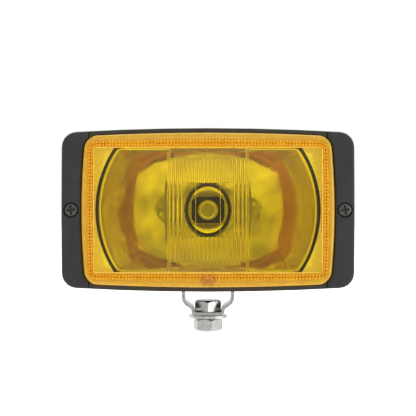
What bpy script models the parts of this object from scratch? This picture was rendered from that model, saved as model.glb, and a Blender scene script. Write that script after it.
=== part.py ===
"""Rectangular amber fog light on a single-bolt U bracket.

Metres, +Z up, lens facing -Y, +X to the right as the lens is looked at.
The origin is on the mounting bolt's axis, at the underside of the bracket's foot, where a panel is clamped.
"""

import math

import bmesh
import bpy
from mathutils import Matrix, Vector

MM = 0.001
GAP = 0.3 * MM                      # clearance between neighbouring pieces
MERGE = 0.01 * MM

# Mounting hardware, stacked downwards from the underside of the bracket's foot.
HEX_WIDTH = 17.0 * MM               # M10 hexagon, across flats
HEX_CHAMFER = 1.9 * MM              # down the corners
HEX_CHAMFER_INSET = 0.6 * MM        # in from the flats
NUT_HEIGHT = 8.0 * MM
NUT_TURN = math.radians(15)
BOLT_RADIUS = 5.0 * MM
BOLT_HEAD_HEIGHT = 7.2 * MM
WASHER_RADIUS = 12.6 * MM
WASHER_THICKNESS = 1.8 * MM
WASHER_LOW_Z = -GAP - WASHER_THICKNESS
NUT_LOW_Z = WASHER_LOW_Z - GAP - NUT_HEIGHT

# Bracket: a strip bent into a U, narrower at its foot so that the bolt head can't turn.
STRIP = 2.0 * MM
STRIP_WIDTH = 20.0 * MM
EAR_RADIUS = 6.0 * MM
LEG_OUTER_X = 17.0 * MM
FOOT_OUTER_X = 10.9 * MM
SHOULDER_TOP_Z = 8.8 * MM
SHOULDER_FOOT_Z = 4.6 * MM
LEG_STRAIGHT_TOP_Z = 16.0 * MM      # where the leg's sides turn in towards the round ear
LEG_BEND_RADII = (5.0 * MM, 2.2 * MM, 2.2 * MM)    # from the top of the leg down to the foot
BEND_STEPS = 6

# Tilt pivot, under the housing.
PIVOT_Z = 20.6 * MM
PIVOT_RADIUS = 3.0 * MM
PIVOT_HEX_WIDTH = 10.0 * MM
PIVOT_HEAD_HEIGHT = 4.0 * MM
PIVOT_WASHER_RADIUS = 5.8 * MM
PIVOT_WASHER_THICKNESS = 1.0 * MM
LUG_RADIUS = 5.5 * MM

# Lamp: outlines are bulged rectangles about the lamp's centre.
LAMP_Z = 68.6 * MM
CASE_HALF_WIDTH = 91.5 * MM
CASE_HALF_HEIGHT = 51.1 * MM
CASE_BULGE = 2.3 * MM
CASE_SIDE_BULGE = 0.2 * MM
CASE_CORNER = 9.5 * MM
LENS_HALF_WIDTH = 78.8 * MM
LENS_HALF_HEIGHT = 48.2 * MM
LENS_BULGE = 1.7 * MM
LENS_CORNER = 9.0 * MM
LENS_CLEARANCE = 0.45 * MM
CLAMP_INNER_X = 74.5 * MM
CLAMP_FRONT_Y = -40.0 * MM
CLAMP_WALL = 4.5 * MM
CLAMP_SIDE_WALL = 2.5 * MM
CLAMP_EDGE = 1.7 * MM
POCKET_BULGE = 0.1 * MM
BAND_FRONT_Y = -38.0 * MM
FLANGE_FRONT_Y = -26.0 * MM
FLANGE_BACK_Y = -22.5 * MM
HOUSING_WALL = 2.2 * MM
HOUSING_BACK_Y = 31.7 * MM

# Housing bowl: nearly straight from the flange to BOWL_TAPER_Y, then tapering to its flat back.
BOWL_STEPS = 12
BOWL_TAPER_Y = -8.0 * MM
BOWL_MOUTH_HALF_WIDTH = 80.0 * MM
BOWL_MOUTH_HALF_HEIGHT = 43.0 * MM
BOWL_MOUTH_CORNER = 12.5 * MM
BOWL_CORNER_SWELL = 6.5 * MM
BOWL_BACK_HALF_WIDTH = 38.0 * MM
BOWL_BACK_HALF_HEIGHT = 18.8 * MM
BOWL_TAPER_WIDTH = 40.0 * MM        # lost on each side along the taper
BOWL_TAPER_HEIGHT = 23.5 * MM
BOWL_WIDTH_POWER = 1.7
BOWL_WIDTH_FULLNESS = 0.95
BOWL_HEIGHT_POWER = 2.5
BOWL_BULGE = 0.8 * MM

# Inside the housing's flange.
LENS_WELL_CLEARANCE = 0.5 * MM
MOUTH_HALF_WIDTH = 75.5 * MM
MOUTH_HALF_HEIGHT = 41.2 * MM
MOUTH_CORNER = 10.0 * MM
CLAMP_BOSS_RADIUS = 3.6 * MM
CLAMP_BOSS_INSET = 0.5 * MM
CLAMP_BOSS_BACK_Y = -19.0 * MM
REFLECTOR_BOSS_HALF = 3.0 * MM
REFLECTOR_BOSS_FRONT_Y = FLANGE_FRONT_Y + 0.1 * MM
REFLECTOR_BOSS_BACK_Y = -16.0 * MM
LUG_ROOT = 40.0 * MM                # below the lamp's centre, inside the housing's wall

# Lens: (depth, inset) in millimetres along its edge and border, and then over the window that bows forward.
LENS_WALL = 3.0 * MM
LENS_BACK_Y = FLANGE_FRONT_Y - 1.7 * MM
LENS_EDGE = ((-39.6, 0.0), (-41.0, 0.5), (-41.9, 1.9), (-42.2, 8.4))
LENS_WINDOW = ((-43.1, 20.0), (-43.9, 36.0))
LENS_WINDOW_CORNER = 2.0 * MM
TONGUE_INNER_X = 75.5 * MM
TONGUE_OUTER_X = 80.6 * MM
TONGUE_FRONT_Y = -35.0 * MM
TONGUE_BACK_Y = -32.6 * MM
TONGUE_HALF_HEIGHT = 30.0 * MM
SEAL_THICKNESS = 1.1 * MM
SEAL_OUTER_INSET = 0.2 * MM
SEAL_INNER_INSET = 2.6 * MM

# Reflector: a paraboloid cut off flat above and below.
FOCAL_LENGTH = 29.0 * MM
RIM_RADIUS = 69.0 * MM
RIM_Y = -31.0 * MM
FLAT_HALF_HEIGHT = 37.5 * MM
HOLE_RADIUS = 11.2 * MM
VERTEX_Y = RIM_Y + RIM_RADIUS ** 2 / (4 * FOCAL_LENGTH)
RIM_LIP = 1.2 * MM
BOWL_RADII = (69.0, 66.0, 60.0, 50.0, 42.0, 37.5, 30.0, 21.0)
REFLECTOR_WALL = 0.8 * MM
REFLECTOR_FLANGE_Y = FLANGE_FRONT_Y - GAP - REFLECTOR_WALL
REFLECTOR_FLANGE_HALF_WIDTH = 75.2 * MM
REFLECTOR_FLANGE_HALF_HEIGHT = 44.6 * MM
REFLECTOR_FLANGE_CORNER = 6.0 * MM

# Screws.
CLAMP_SCREW_X = 85.4 * MM
CLAMP_SCREW_HEAD_RADIUS = 4.1 * MM
CLAMP_SCREW_HEAD_HEIGHT = 2.3 * MM
CLAMP_SCREW_RECESS_RADIUS = 4.9 * MM
CLAMP_SCREW_RECESS_DEPTH = 2.1 * MM
CLAMP_SCREW_SEAT_Y = CLAMP_FRONT_Y + CLAMP_SCREW_RECESS_DEPTH - GAP
CLAMP_SCREW_LENGTH = 15.0 * MM
SCREW_SHANK_RADIUS = 2.0 * MM
REFLECTOR_SCREW_X = 30.0 * MM
REFLECTOR_SCREW_HEIGHT = 41.6 * MM   # above the centre on the left, below it on the right
REFLECTOR_SCREW_SEAT_Y = REFLECTOR_FLANGE_Y - GAP
REFLECTOR_SCREW_LENGTH = 8.0 * MM
REFLECTOR_SCREW_HEAD_RADIUS = 2.5 * MM
REFLECTOR_SCREW_HEAD_HEIGHT = 1.8 * MM
REFLECTOR_SCREW_SHANK_RADIUS = 1.3 * MM
REFLECTOR_SCREWS = (("left", -REFLECTOR_SCREW_X, REFLECTOR_SCREW_HEIGHT),
                    ("right", REFLECTOR_SCREW_X, -REFLECTOR_SCREW_HEIGHT))
RECESS_WING = 0.62                  # of the head's radius
RECESS_BLADE = 0.13
RECESS_DEPTH = 0.35                 # of the head's height

# Bulb, on the reflector's axis.
LIGHT_CENTRE_LENGTH = 18.0 * MM      # from the bulb's seat to its filament
BULB_SEAT_Y = VERTEX_Y - FOCAL_LENGTH + LIGHT_CENTRE_LENGTH
BULB_FLANGE_RADIUS = 8.8 * MM
BULB_BASE_RADIUS = 6.5 * MM
BULB_GLASS_RADIUS = 5.5 * MM
BULB_GLASS_WALL = 0.9 * MM
BULB_GLASS_TIP = 26.6 * MM          # in front of the seat, as the next two are
BULB_BASE_FRONT = 7.0 * MM
BULB_FLANGE_FRONT = 0.8 * MM
BULB_FLANGE_BACK = -0.2 * MM
BULB_PLUG_RADIUS = 5.0 * MM
BULB_PLUG_BACK = -9.5 * MM
COIL_TURNS = 5
COIL_STEPS = 6                      # to a turn
COIL_HALF_LENGTH = 2.6 * MM
COIL_RADIUS = 0.55 * MM
COIL_LEG = 0.6 * MM                 # from the coil's end out to its support
COIL_WIRE_RADIUS = 0.17 * MM
HOLDER_TUBE_RADIUS = 10.6 * MM
HOLDER_FLANGE_RADIUS = 15.0 * MM
HOLDER_FRONT = 1.9 * MM
HOLDER_WALL = 0.8 * MM
HOLDER_STAND_OFF = 0.6 * MM         # behind the reflector's vertex
HOLDER_BACK_Y = VERTEX_Y + HOLDER_STAND_OFF + HOLDER_WALL
CLIP_WIRE_RADIUS = 0.6 * MM
CLIP_PIVOT_HEIGHT = 13.6 * MM
CLIP_PIVOT_Y = VERTEX_Y + 4.0 * MM

CLIP_HALF_WIDTH = 5.9 * MM           # clear of the bulb's plug, and of the holder's tube as it swings
CLIP_END_X = 11.5 * MM
CLIP_BEND = 1.2 * MM
EAR_INNER_X = 9.6 * MM
EAR_OUTER_X = 10.6 * MM
EAR_DEPTH = 5.5 * MM
PLATE_HALF_WIDTH = 13.0 * MM

# Bulb's lead and the terminals: the lead runs clear behind the clip.
LEAD_RADIUS = 1.2 * MM
LEAD_BEND = 2.0 * MM
LEAD_RUN_Y = CLIP_PIVOT_Y + 8.0 * MM
CONNECTOR_RADIUS = 2.6 * MM
CONNECTOR_LENGTH = 10.0 * MM
TAB_HALF_WIDTH = 3.2 * MM
TAB_THICKNESS = 0.8 * MM
TAB_LENGTH = 8.0 * MM
TAB_LOW = -14.6 * MM
TAB_HIGH = -11.0 * MM

# Cable entry, in the housing's back.
GROMMET_X = -22.0 * MM
GROMMET_HEIGHT = -4.0 * MM
GROMMET_HOLE_RADIUS = 4.0 * MM
GROMMET_NECK_RADIUS = 6.3 * MM
GROMMET_FLANGE_RADIUS = 8.8 * MM
GROMMET_OUTSIDE = 3.4 * MM
GROMMET_INSIDE = 2.0 * MM
GROMMET_LIP = 1.2 * MM

PARTS = "fog_light"
CUTTERS = "cutters"

ALONG_X = Matrix.Rotation(math.pi / 2, 4, "Y")
ALONG_Y = Matrix.Rotation(-math.pi / 2, 4, "X")


# ---------------------------------------------------------------- scene, materials and bodies

def clear_scene():
    for found in list(bpy.data.objects):
        bpy.data.objects.remove(found, do_unlink=True)
    for name in (PARTS, CUTTERS):
        bpy.context.scene.collection.children.link(bpy.data.collections.new(name))


def make_material(name, colour, roughness, metallic=0.0, transmission=0.0):
    material = bpy.data.materials.new(name)
    material.use_nodes = True
    shader = material.node_tree.nodes["Principled BSDF"]
    shader.inputs["Base Color"].default_value = (*colour, 1.0)
    shader.inputs["Roughness"].default_value = roughness
    shader.inputs["Metallic"].default_value = metallic
    shader.inputs["Transmission Weight"].default_value = transmission
    return material


def make_body(name, location):
    """An empty on a joint's axis, which the pieces that move with it are parented to."""
    empty = bpy.data.objects.new(name, None)
    empty.location = location
    bpy.data.collections[PARTS].objects.link(empty)
    return empty


def link(mesh_object, collection=PARTS):
    bpy.data.collections[collection].objects.link(mesh_object)
    bpy.context.view_layer.update()
    return mesh_object


def as_part(piece, body, material):
    """Name the piece's material, shade its round faces smooth and hang it from its body."""
    piece.data.materials.clear()
    piece.data.materials.append(material)
    piece.data.shade_smooth()
    piece.data.set_sharp_from_angle(angle=math.radians(35))
    piece.parent = body
    piece.matrix_parent_inverse = Matrix.Translation(body.location).inverted()
    bpy.context.view_layer.update()
    return piece


def as_cutter(piece):
    for collection in list(piece.users_collection):
        collection.objects.unlink(piece)
    bpy.data.collections[CUTTERS].objects.link(piece)
    piece.hide_render = True
    piece.display_type = "WIRE"
    return piece


def boolean(piece, other, operation):
    modifier = piece.modifiers.new(other.name, "BOOLEAN")
    modifier.object = as_cutter(other)
    modifier.operation = operation


def cut(piece, *cutters):
    for cutter in cutters:
        boolean(piece, cutter, "DIFFERENCE")
    return piece


def join(piece, *additions):
    for addition in additions:
        boolean(piece, addition, "UNION")
    return piece


def keep_inside(piece, envelope):
    boolean(piece, envelope, "INTERSECT")
    return piece


# ---------------------------------------------------------------- shapes

def mesh_from(name, build, closed=True):
    mesh = bpy.data.meshes.new(name)
    bm = bmesh.new()
    build(bm)
    if closed:
        bmesh.ops.recalc_face_normals(bm, faces=bm.faces)
    bm.to_mesh(mesh)
    bm.free()
    return link(bpy.data.objects.new(name, mesh))


def cylinder(name, radius, length, centre, direction=Matrix.Identity(4), sides=32):
    def build(bm):
        place = Matrix.Translation(centre) @ direction
        bmesh.ops.create_cone(bm, cap_ends=True, segments=sides, radius1=radius, radius2=radius,
                              depth=length, matrix=place)
    return mesh_from(name, build)


def box(name, low, high):
    def build(bm):
        middle = (Vector(low) + Vector(high)) / 2
        size = Vector(high) - Vector(low)
        bmesh.ops.create_cube(bm, size=1.0, matrix=Matrix.Translation(middle) @ Matrix.Diagonal((*size, 1.0)))
    return mesh_from(name, build)


def turned(name, profile, place, steps=24):
    """A profile of (radius, height) points, top to bottom on the outside, turned about its own Z.

    A profile that comes back to its first point is closed, which makes a ring.
    """
    mesh = bpy.data.meshes.new(name)
    closed = profile[0] == profile[-1]
    points = [(radius, 0.0, height) for radius, height in (profile[:-1] if closed else profile)]
    edges = [(i, i + 1) for i in range(len(points) - 1)]
    if closed:
        edges.append((len(points) - 1, 0))
    mesh.from_pydata(points, edges, [])
    piece = link(bpy.data.objects.new(name, mesh))
    piece.matrix_world = place
    screw = piece.modifiers.new("turn", "SCREW")
    screw.steps = steps
    screw.render_steps = steps
    screw.use_merge_vertices = True
    screw.merge_threshold = MERGE
    screw.use_smooth_shade = True
    return piece


def ring(name, outer, inner, low, high, place, steps=24):
    profile = [(inner, high), (outer, high), (outer, low), (inner, low), (inner, high)]
    return turned(name, profile, place, steps)


def prism(name, outline, depth_from, depth_to, to_world, edge=0.0):
    """An outline of (across, up) points pushed from one depth to another; edge rounds its first face."""
    def build(bm):
        corners = [bm.verts.new(to_world(across, depth_from, up)) for across, up in outline]
        face = bm.faces.new(corners)
        front_edges = list(face.edges)
        pushed = bmesh.ops.extrude_face_region(bm, geom=[face], use_keep_orig=True)
        moved = [item for item in pushed["geom"] if isinstance(item, bmesh.types.BMVert)]
        shift = Vector(to_world(0, depth_to, 0)) - Vector(to_world(0, depth_from, 0))
        bmesh.ops.translate(bm, verts=moved, vec=shift)
        if edge:
            bmesh.ops.bevel(bm, geom=front_edges, offset=edge, segments=3, profile=0.5, affect="EDGES")
    return mesh_from(name, build)


def lamp_point(across, depth, up):
    return (across, depth, LAMP_Z + up)


def side_point(across, depth, up):
    """For outlines drawn in the YZ plane and pushed along X."""
    return (depth, across, up)


def arc(centre, radius, start, end, steps):
    angles = [math.radians(start + (end - start) * step / steps) for step in range(steps + 1)]
    return [(centre[0] + radius * math.cos(a), centre[1] + radius * math.sin(a)) for a in angles]


def bulged_rectangle(half_width, half_height, bulge_side, bulge_top, corner, side_steps=3, corner_steps=5):
    """A rectangle whose sides bow outwards; every call gives the same number of points."""
    centre_x = half_width - bulge_side - corner
    centre_z = half_height - bulge_top - corner
    quarter = []
    for step in range(side_steps):
        z = centre_z * step / side_steps
        quarter.append((centre_x + corner + bulge_side * (1 - (z / centre_z) ** 2), z))
    quarter += arc((centre_x, centre_z), corner, 0, 90, corner_steps)
    for step in range(side_steps):
        x = centre_x * (1 - (step + 1) / side_steps)
        quarter.append((x, centre_z + corner + bulge_top * (1 - (x / centre_x) ** 2)))
    half = quarter + [(-x, z) for x, z in reversed(quarter[1:-1])] + [(-quarter[0][0], quarter[0][1])]
    return half + [(x, -z) for x, z in reversed(half[1:-1])]


def case_outline(grow=0.0):
    return bulged_rectangle(CASE_HALF_WIDTH + grow, CASE_HALF_HEIGHT + grow, CASE_SIDE_BULGE, CASE_BULGE,
                            CASE_CORNER + grow)


def lens_outline(grow=0.0):
    corner = max(LENS_CORNER + grow, 1.0 * MM)
    return bulged_rectangle(LENS_HALF_WIDTH + grow, LENS_HALF_HEIGHT + grow, LENS_BULGE, LENS_BULGE, corner)


def lofted_shell(name, sections, thickness, close_last, side):
    """A skin through sections of (depth, outline), thickened inwards (side -1) or outwards (side 1)."""
    def build(bm):
        rings = [[bm.verts.new(lamp_point(x, depth, z)) for x, z in outline] for depth, outline in sections]
        count = len(rings[0])
        for one, other in zip(rings, rings[1:]):
            for i in range(count):
                j = (i + 1) % count
                bm.faces.new((one[i], one[j], other[j], other[i]))
        if close_last:
            bm.faces.new(rings[-1])
        if sections[-1][0] > sections[0][0]:
            bmesh.ops.reverse_faces(bm, faces=bm.faces)
    piece = mesh_from(name, build, closed=False)
    solidify = piece.modifiers.new("wall", "SOLIDIFY")
    solidify.thickness = thickness
    solidify.offset = side
    solidify.use_even_offset = True
    return piece


def wire(name, points, radius, resolution=1):
    """A round wire or lead as one closed mesh."""
    curve = bpy.data.curves.new(name, "CURVE")
    curve.dimensions = "3D"
    curve.bevel_depth = radius
    curve.bevel_resolution = resolution
    curve.use_fill_caps = True
    spline = curve.splines.new("POLY")
    spline.points.add(len(points) - 1)
    for point, place in zip(spline.points, points):
        point.co = (*place, 1.0)
    shaped = link(bpy.data.objects.new(name + "_path", curve))
    evaluated = shaped.evaluated_get(bpy.context.evaluated_depsgraph_get())
    mesh = bpy.data.meshes.new_from_object(evaluated)
    bm = bmesh.new()
    bm.from_mesh(mesh)
    bmesh.ops.remove_doubles(bm, verts=bm.verts, dist=MERGE)
    bmesh.ops.recalc_face_normals(bm, faces=bm.faces)
    bm.to_mesh(mesh)
    bm.free()
    bpy.data.objects.remove(shaped)
    return link(bpy.data.objects.new(name, mesh))


def rounded_path(corners, radii, steps):
    """A polyline whose inner corners are replaced by arcs, each of its own radius."""
    path = [Vector(corners[0])]
    for before, corner, after, radius in zip(corners, corners[1:], corners[2:], radii):
        corner = Vector(corner)
        back = (Vector(before) - corner).normalized()
        forward = (Vector(after) - corner).normalized()
        half_angle = back.angle(forward) / 2
        reach = radius / math.tan(half_angle)
        centre = corner + (back + forward).normalized() * (radius / math.sin(half_angle))
        start = (corner + back * reach - centre).normalized()
        end = (corner + forward * reach - centre).normalized()
        for step in range(steps + 1):
            path.append(centre + start.slerp(end, step / steps) * radius)
    path.append(Vector(corners[-1]))
    return path


# ---------------------------------------------------------------- mounting hardware and bracket

def hexagon(name, low, high, turn, chamfer_low, chamfer_high):
    """An M10 hexagon about Z with its corners turned off where a chamfer is asked for."""
    corner_radius = HEX_WIDTH / math.sqrt(3)
    place = Matrix.Rotation(turn, 4, "Z")
    piece = cylinder(name, corner_radius, high - low, (0, 0, (low + high) / 2), place, sides=6)
    inner = HEX_WIDTH / 2 - HEX_CHAMFER_INSET
    outer = corner_radius + 0.4 * MM
    top = [(inner, high), (outer, high - chamfer_high)] if chamfer_high else [(outer, high + MM)]
    bottom = [(outer, low + chamfer_low), (inner, low)] if chamfer_low else [(outer, low - MM)]
    profile = [(0.0, top[0][1])] + top + bottom + [(0.0, bottom[-1][1])]
    barrel = turned(name + "_barrel", profile, Matrix.Identity(4), steps=36)
    return keep_inside(piece, barrel)


def mounting_hardware(body, zinc):
    nut = hexagon("mounting_nut", NUT_LOW_Z, NUT_LOW_Z + NUT_HEIGHT, NUT_TURN, HEX_CHAMFER, HEX_CHAMFER)
    cut(nut, cylinder("nut_bore", BOLT_RADIUS + GAP, 4 * NUT_HEIGHT, (0, 0, NUT_LOW_Z)))
    as_part(nut, body, zinc)
    washer = ring("mounting_washer", WASHER_RADIUS, BOLT_RADIUS + GAP, WASHER_LOW_Z, -GAP, Matrix.Identity(4),
                  steps=32)
    as_part(washer, body, zinc)


def ear_outline():
    """The bracket leg seen from the side: straight up from its foot, then round about the pivot."""
    half = STRIP_WIDTH / 2
    top = arc((0, PIVOT_Z), EAR_RADIUS, 0, 180, 16)
    return top + [(-half, LEG_STRAIGHT_TOP_Z), (-half, -STRIP), (half, -STRIP), (half, LEG_STRAIGHT_TOP_Z)]


def mounting_bracket(body, zinc):
    inset = STRIP / 2
    half = [(LEG_OUTER_X - inset, PIVOT_Z + 2 * EAR_RADIUS), (LEG_OUTER_X - inset, SHOULDER_TOP_Z),
            (FOOT_OUTER_X - inset, SHOULDER_FOOT_Z), (FOOT_OUTER_X - inset, inset)]
    corners = [(x, 0, z) for x, z in half] + [(-x, 0, z) for x, z in reversed(half)]
    path = rounded_path(corners, LEG_BEND_RADII + LEG_BEND_RADII[::-1], BEND_STEPS)

    def build(bm):
        near = [bm.verts.new((p.x, -STRIP_WIDTH, p.z)) for p in path]
        far = [bm.verts.new((p.x, STRIP_WIDTH, p.z)) for p in path]
        for i in range(len(path) - 1):
            bm.faces.new((near[i], near[i + 1], far[i + 1], far[i]))
    strip = mesh_from("mounting_bracket", build)
    solidify = strip.modifiers.new("strip", "SOLIDIFY")
    solidify.thickness = STRIP
    solidify.offset = 0.0
    solidify.use_even_offset = True
    keep_inside(strip, prism("leg_shape", ear_outline(), -2 * LEG_OUTER_X, 2 * LEG_OUTER_X, side_point))
    cut(strip, cylinder("bolt_hole", BOLT_RADIUS + GAP, 4 * STRIP, (0, 0, inset)))
    pivot = (0, 0, PIVOT_Z)
    cut(strip, cylinder("ear_holes", PIVOT_RADIUS + GAP, 4 * LEG_OUTER_X, pivot, ALONG_X, sides=24))
    return as_part(strip, body, zinc)


def mounting_bolt(body, zinc):
    """Its head is held between the bracket's legs, and its end is flush with the nut."""
    head_low = STRIP + GAP
    bolt = hexagon("mounting_bolt", head_low, head_low + BOLT_HEAD_HEIGHT, 0.0, 0.0, HEX_CHAMFER)
    shank_top = head_low + MM
    shank_middle = (0, 0, (shank_top + NUT_LOW_Z) / 2)
    join(bolt, cylinder("bolt_shank", BOLT_RADIUS, shank_top - NUT_LOW_Z, shank_middle))
    return as_part(bolt, body, zinc)


def pivot_hardware(body, zinc):
    """The cross bolt through the bracket's ears and the housing's lug, with its washers and nut."""
    place = Matrix.Translation((0, 0, PIVOT_Z)) @ ALONG_X
    washer_low = LEG_OUTER_X + GAP
    washer_high = washer_low + PIVOT_WASHER_THICKNESS
    hex_low = washer_high + GAP
    hex_high = hex_low + PIVOT_HEAD_HEIGHT
    for side, sign in (("left", -1), ("right", 1)):
        name = "pivot_washer_" + side
        low, high = sorted((sign * washer_low, sign * washer_high))
        as_part(ring(name, PIVOT_WASHER_RADIUS, PIVOT_RADIUS + GAP, low, high, place), body, zinc)
    radius = PIVOT_HEX_WIDTH / math.sqrt(3)
    middle = (hex_low + hex_high) / 2
    bolt = cylinder("pivot_bolt", radius, PIVOT_HEAD_HEIGHT, (-middle, 0, PIVOT_Z), ALONG_X, sides=6)
    tail = hex_high + 1.5 * MM
    shank_middle = ((tail - middle) / 2, 0, PIVOT_Z)
    join(bolt, cylinder("pivot_shank", PIVOT_RADIUS, tail + middle, shank_middle, ALONG_X))
    as_part(bolt, body, zinc)
    nut_middle = (middle, 0, PIVOT_Z)
    nut = cylinder("pivot_nut", radius, PIVOT_HEAD_HEIGHT, nut_middle, ALONG_X, sides=6)
    cut(nut, cylinder("pivot_nut_bore", PIVOT_RADIUS + GAP, 4 * PIVOT_HEAD_HEIGHT, nut_middle, ALONG_X))
    as_part(nut, body, zinc)


# ---------------------------------------------------------------- housing and clamps

def housing_bowl():
    """The tapering back of the housing, open at the flange; its outline shrinks along smooth curves."""
    stations = [(FLANGE_FRONT_Y + MM, BOWL_MOUTH_HALF_WIDTH, BOWL_MOUTH_HALF_HEIGHT, BOWL_MOUTH_CORNER)]
    for step in range(BOWL_STEPS + 1):
        share = step / BOWL_STEPS
        depth = BOWL_TAPER_Y + (HOUSING_BACK_Y - BOWL_TAPER_Y) * math.sin(share * math.pi / 2)
        along = (depth - BOWL_TAPER_Y) / (HOUSING_BACK_Y - BOWL_TAPER_Y)
        fullness = (1 - along ** BOWL_WIDTH_POWER) ** BOWL_WIDTH_FULLNESS
        half_width = BOWL_BACK_HALF_WIDTH + BOWL_TAPER_WIDTH * fullness
        half_height = BOWL_BACK_HALF_HEIGHT + BOWL_TAPER_HEIGHT * (1 - along ** BOWL_HEIGHT_POWER)
        corner = BOWL_MOUTH_CORNER + BOWL_CORNER_SWELL * math.sin(math.pi * along)
        stations.append((depth, half_width, half_height, corner))
    sections = [(depth, bulged_rectangle(half_width, half_height, BOWL_BULGE, BOWL_BULGE, corner))
                for depth, half_width, half_height, corner in stations]
    return lofted_shell("rear_housing", sections, HOUSING_WALL, close_last=True, side=-1)


def housing_flange():
    """The plate under the lens, its seal and the two clamps, with the rim bands above and below the lens."""
    flange = prism("housing_flange", case_outline(), BAND_FRONT_Y, FLANGE_BACK_Y, lamp_point)
    reach = CLAMP_INNER_X - GAP
    tall = 2 * CASE_HALF_HEIGHT
    for side, sign in (("left", -1), ("right", 1)):
        near, far = sorted((sign * reach, sign * 2 * reach))
        cut(flange, box("clamp_seat_" + side, lamp_point(near, 2 * BAND_FRONT_Y, -tall),
                        lamp_point(far, FLANGE_FRONT_Y, tall)))
    well = lens_outline(LENS_WELL_CLEARANCE)
    cut(flange, prism("lens_well", well, 2 * BAND_FRONT_Y, FLANGE_FRONT_Y, lamp_point))
    mouth = bulged_rectangle(MOUTH_HALF_WIDTH, MOUTH_HALF_HEIGHT, MM, MM, MOUTH_CORNER)
    cut(flange, prism("housing_mouth", mouth, 2 * BAND_FRONT_Y, 0.0, lamp_point))
    return flange


def screw_boss(name, x, radius, front_y, back_y, z=0.0):
    return cylinder(name, radius, back_y - front_y, lamp_point(x, (front_y + back_y) / 2, z), ALONG_Y, sides=24)


def reflector_boss(housing, side, x, z):
    """A square boss through the bowl's wall, behind the reflector's flange."""
    half = REFLECTOR_BOSS_HALF
    join(housing, box("reflector_boss_" + side, lamp_point(x - half, REFLECTOR_BOSS_FRONT_Y, z - half),
                      lamp_point(x + half, REFLECTOR_BOSS_BACK_Y, z + half)))
    end = REFLECTOR_SCREW_SEAT_Y + REFLECTOR_SCREW_LENGTH + 2 * GAP
    radius = REFLECTOR_SCREW_SHANK_RADIUS + GAP
    cut(housing, screw_boss("reflector_boss_hole_" + side, x, radius, -2 * LAMP_Z, end, z))


def rear_housing(body, plastic):
    housing = housing_bowl()
    join(housing, housing_flange())
    boss_front = CLAMP_FRONT_Y + CLAMP_WALL + GAP
    screw_end = CLAMP_SCREW_SEAT_Y + CLAMP_SCREW_LENGTH + 2 * GAP
    for side, sign in (("left", -1), ("right", 1)):
        x = sign * CLAMP_SCREW_X
        join(housing, screw_boss("clamp_boss_" + side, x - sign * CLAMP_BOSS_INSET, CLAMP_BOSS_RADIUS,
                                 boss_front, CLAMP_BOSS_BACK_Y))
        cut(housing, screw_boss("clamp_boss_hole_" + side, x, SCREW_SHANK_RADIUS + GAP, -2 * LAMP_Z, screw_end))
    for side, x, z in REFLECTOR_SCREWS:
        reflector_boss(housing, side, x, z)
    inner_x = LEG_OUTER_X - STRIP - GAP
    lug_top = LAMP_Z - LUG_ROOT
    lug_outline = arc((0, PIVOT_Z), LUG_RADIUS, 180, 360, 12)
    lug_outline += [(LUG_RADIUS, lug_top), (-LUG_RADIUS, lug_top)]
    join(housing, prism("pivot_lug", lug_outline, -inner_x, inner_x, side_point))
    cut(housing, cylinder("lug_bore", PIVOT_RADIUS + GAP, 3 * inner_x, (0, 0, PIVOT_Z), ALONG_X))
    grommet_centre = lamp_point(GROMMET_X, HOUSING_BACK_Y, GROMMET_HEIGHT)
    cut(housing, cylinder("grommet_hole", GROMMET_NECK_RADIUS + GAP, 4 * HOUSING_WALL, grommet_centre, ALONG_Y))
    return as_part(housing, body, plastic)


def end_of(outline, limit_x):
    """The part of an outline past limit_x, from bottom to top, with its two ends exactly there."""
    past = sorted([(x, z) for x, z in outline if x > limit_x], key=lambda point: point[1])
    for (x, z), (next_x, next_z) in zip(outline, outline[1:]):
        if next_x <= limit_x:
            end_z = z + (next_z - z) * (x - limit_x) / (x - next_x)
            break
    return [(limit_x, -end_z)] + past + [(limit_x, end_z)]


def clamp_outline(sign):
    """A C shape: the case's outline at one end, less the lens that it grips."""
    outer = end_of(case_outline(), CLAMP_INNER_X)
    inner = end_of(lens_outline(LENS_CLEARANCE), CLAMP_INNER_X)
    return [(sign * x, z) for x, z in outer + inner[::-1]]


def side_clamp(side, sign, body, plastic):
    back_y = FLANGE_FRONT_Y - GAP
    clamp = prism("side_clamp_" + side, clamp_outline(sign), CLAMP_FRONT_Y, back_y, lamp_point, edge=CLAMP_EDGE)
    pocket_half_height = CASE_HALF_HEIGHT - CASE_BULGE - CLAMP_SIDE_WALL
    pocket = bulged_rectangle(CASE_HALF_WIDTH - CLAMP_SIDE_WALL, pocket_half_height, POCKET_BULGE, POCKET_BULGE,
                              CASE_CORNER - CLAMP_SIDE_WALL)
    cut(clamp, prism("clamp_pocket_" + side, pocket, CLAMP_FRONT_Y + CLAMP_WALL, 0.0, lamp_point))
    x = sign * CLAMP_SCREW_X
    recess_end = CLAMP_FRONT_Y + CLAMP_SCREW_RECESS_DEPTH
    cut(clamp, screw_boss("clamp_recess_" + side, x, CLAMP_SCREW_RECESS_RADIUS, -LAMP_Z, recess_end))
    cut(clamp, screw_boss("clamp_hole_" + side, x, SCREW_SHANK_RADIUS + GAP, -LAMP_Z, 0.0))
    return as_part(clamp, body, plastic)


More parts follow.
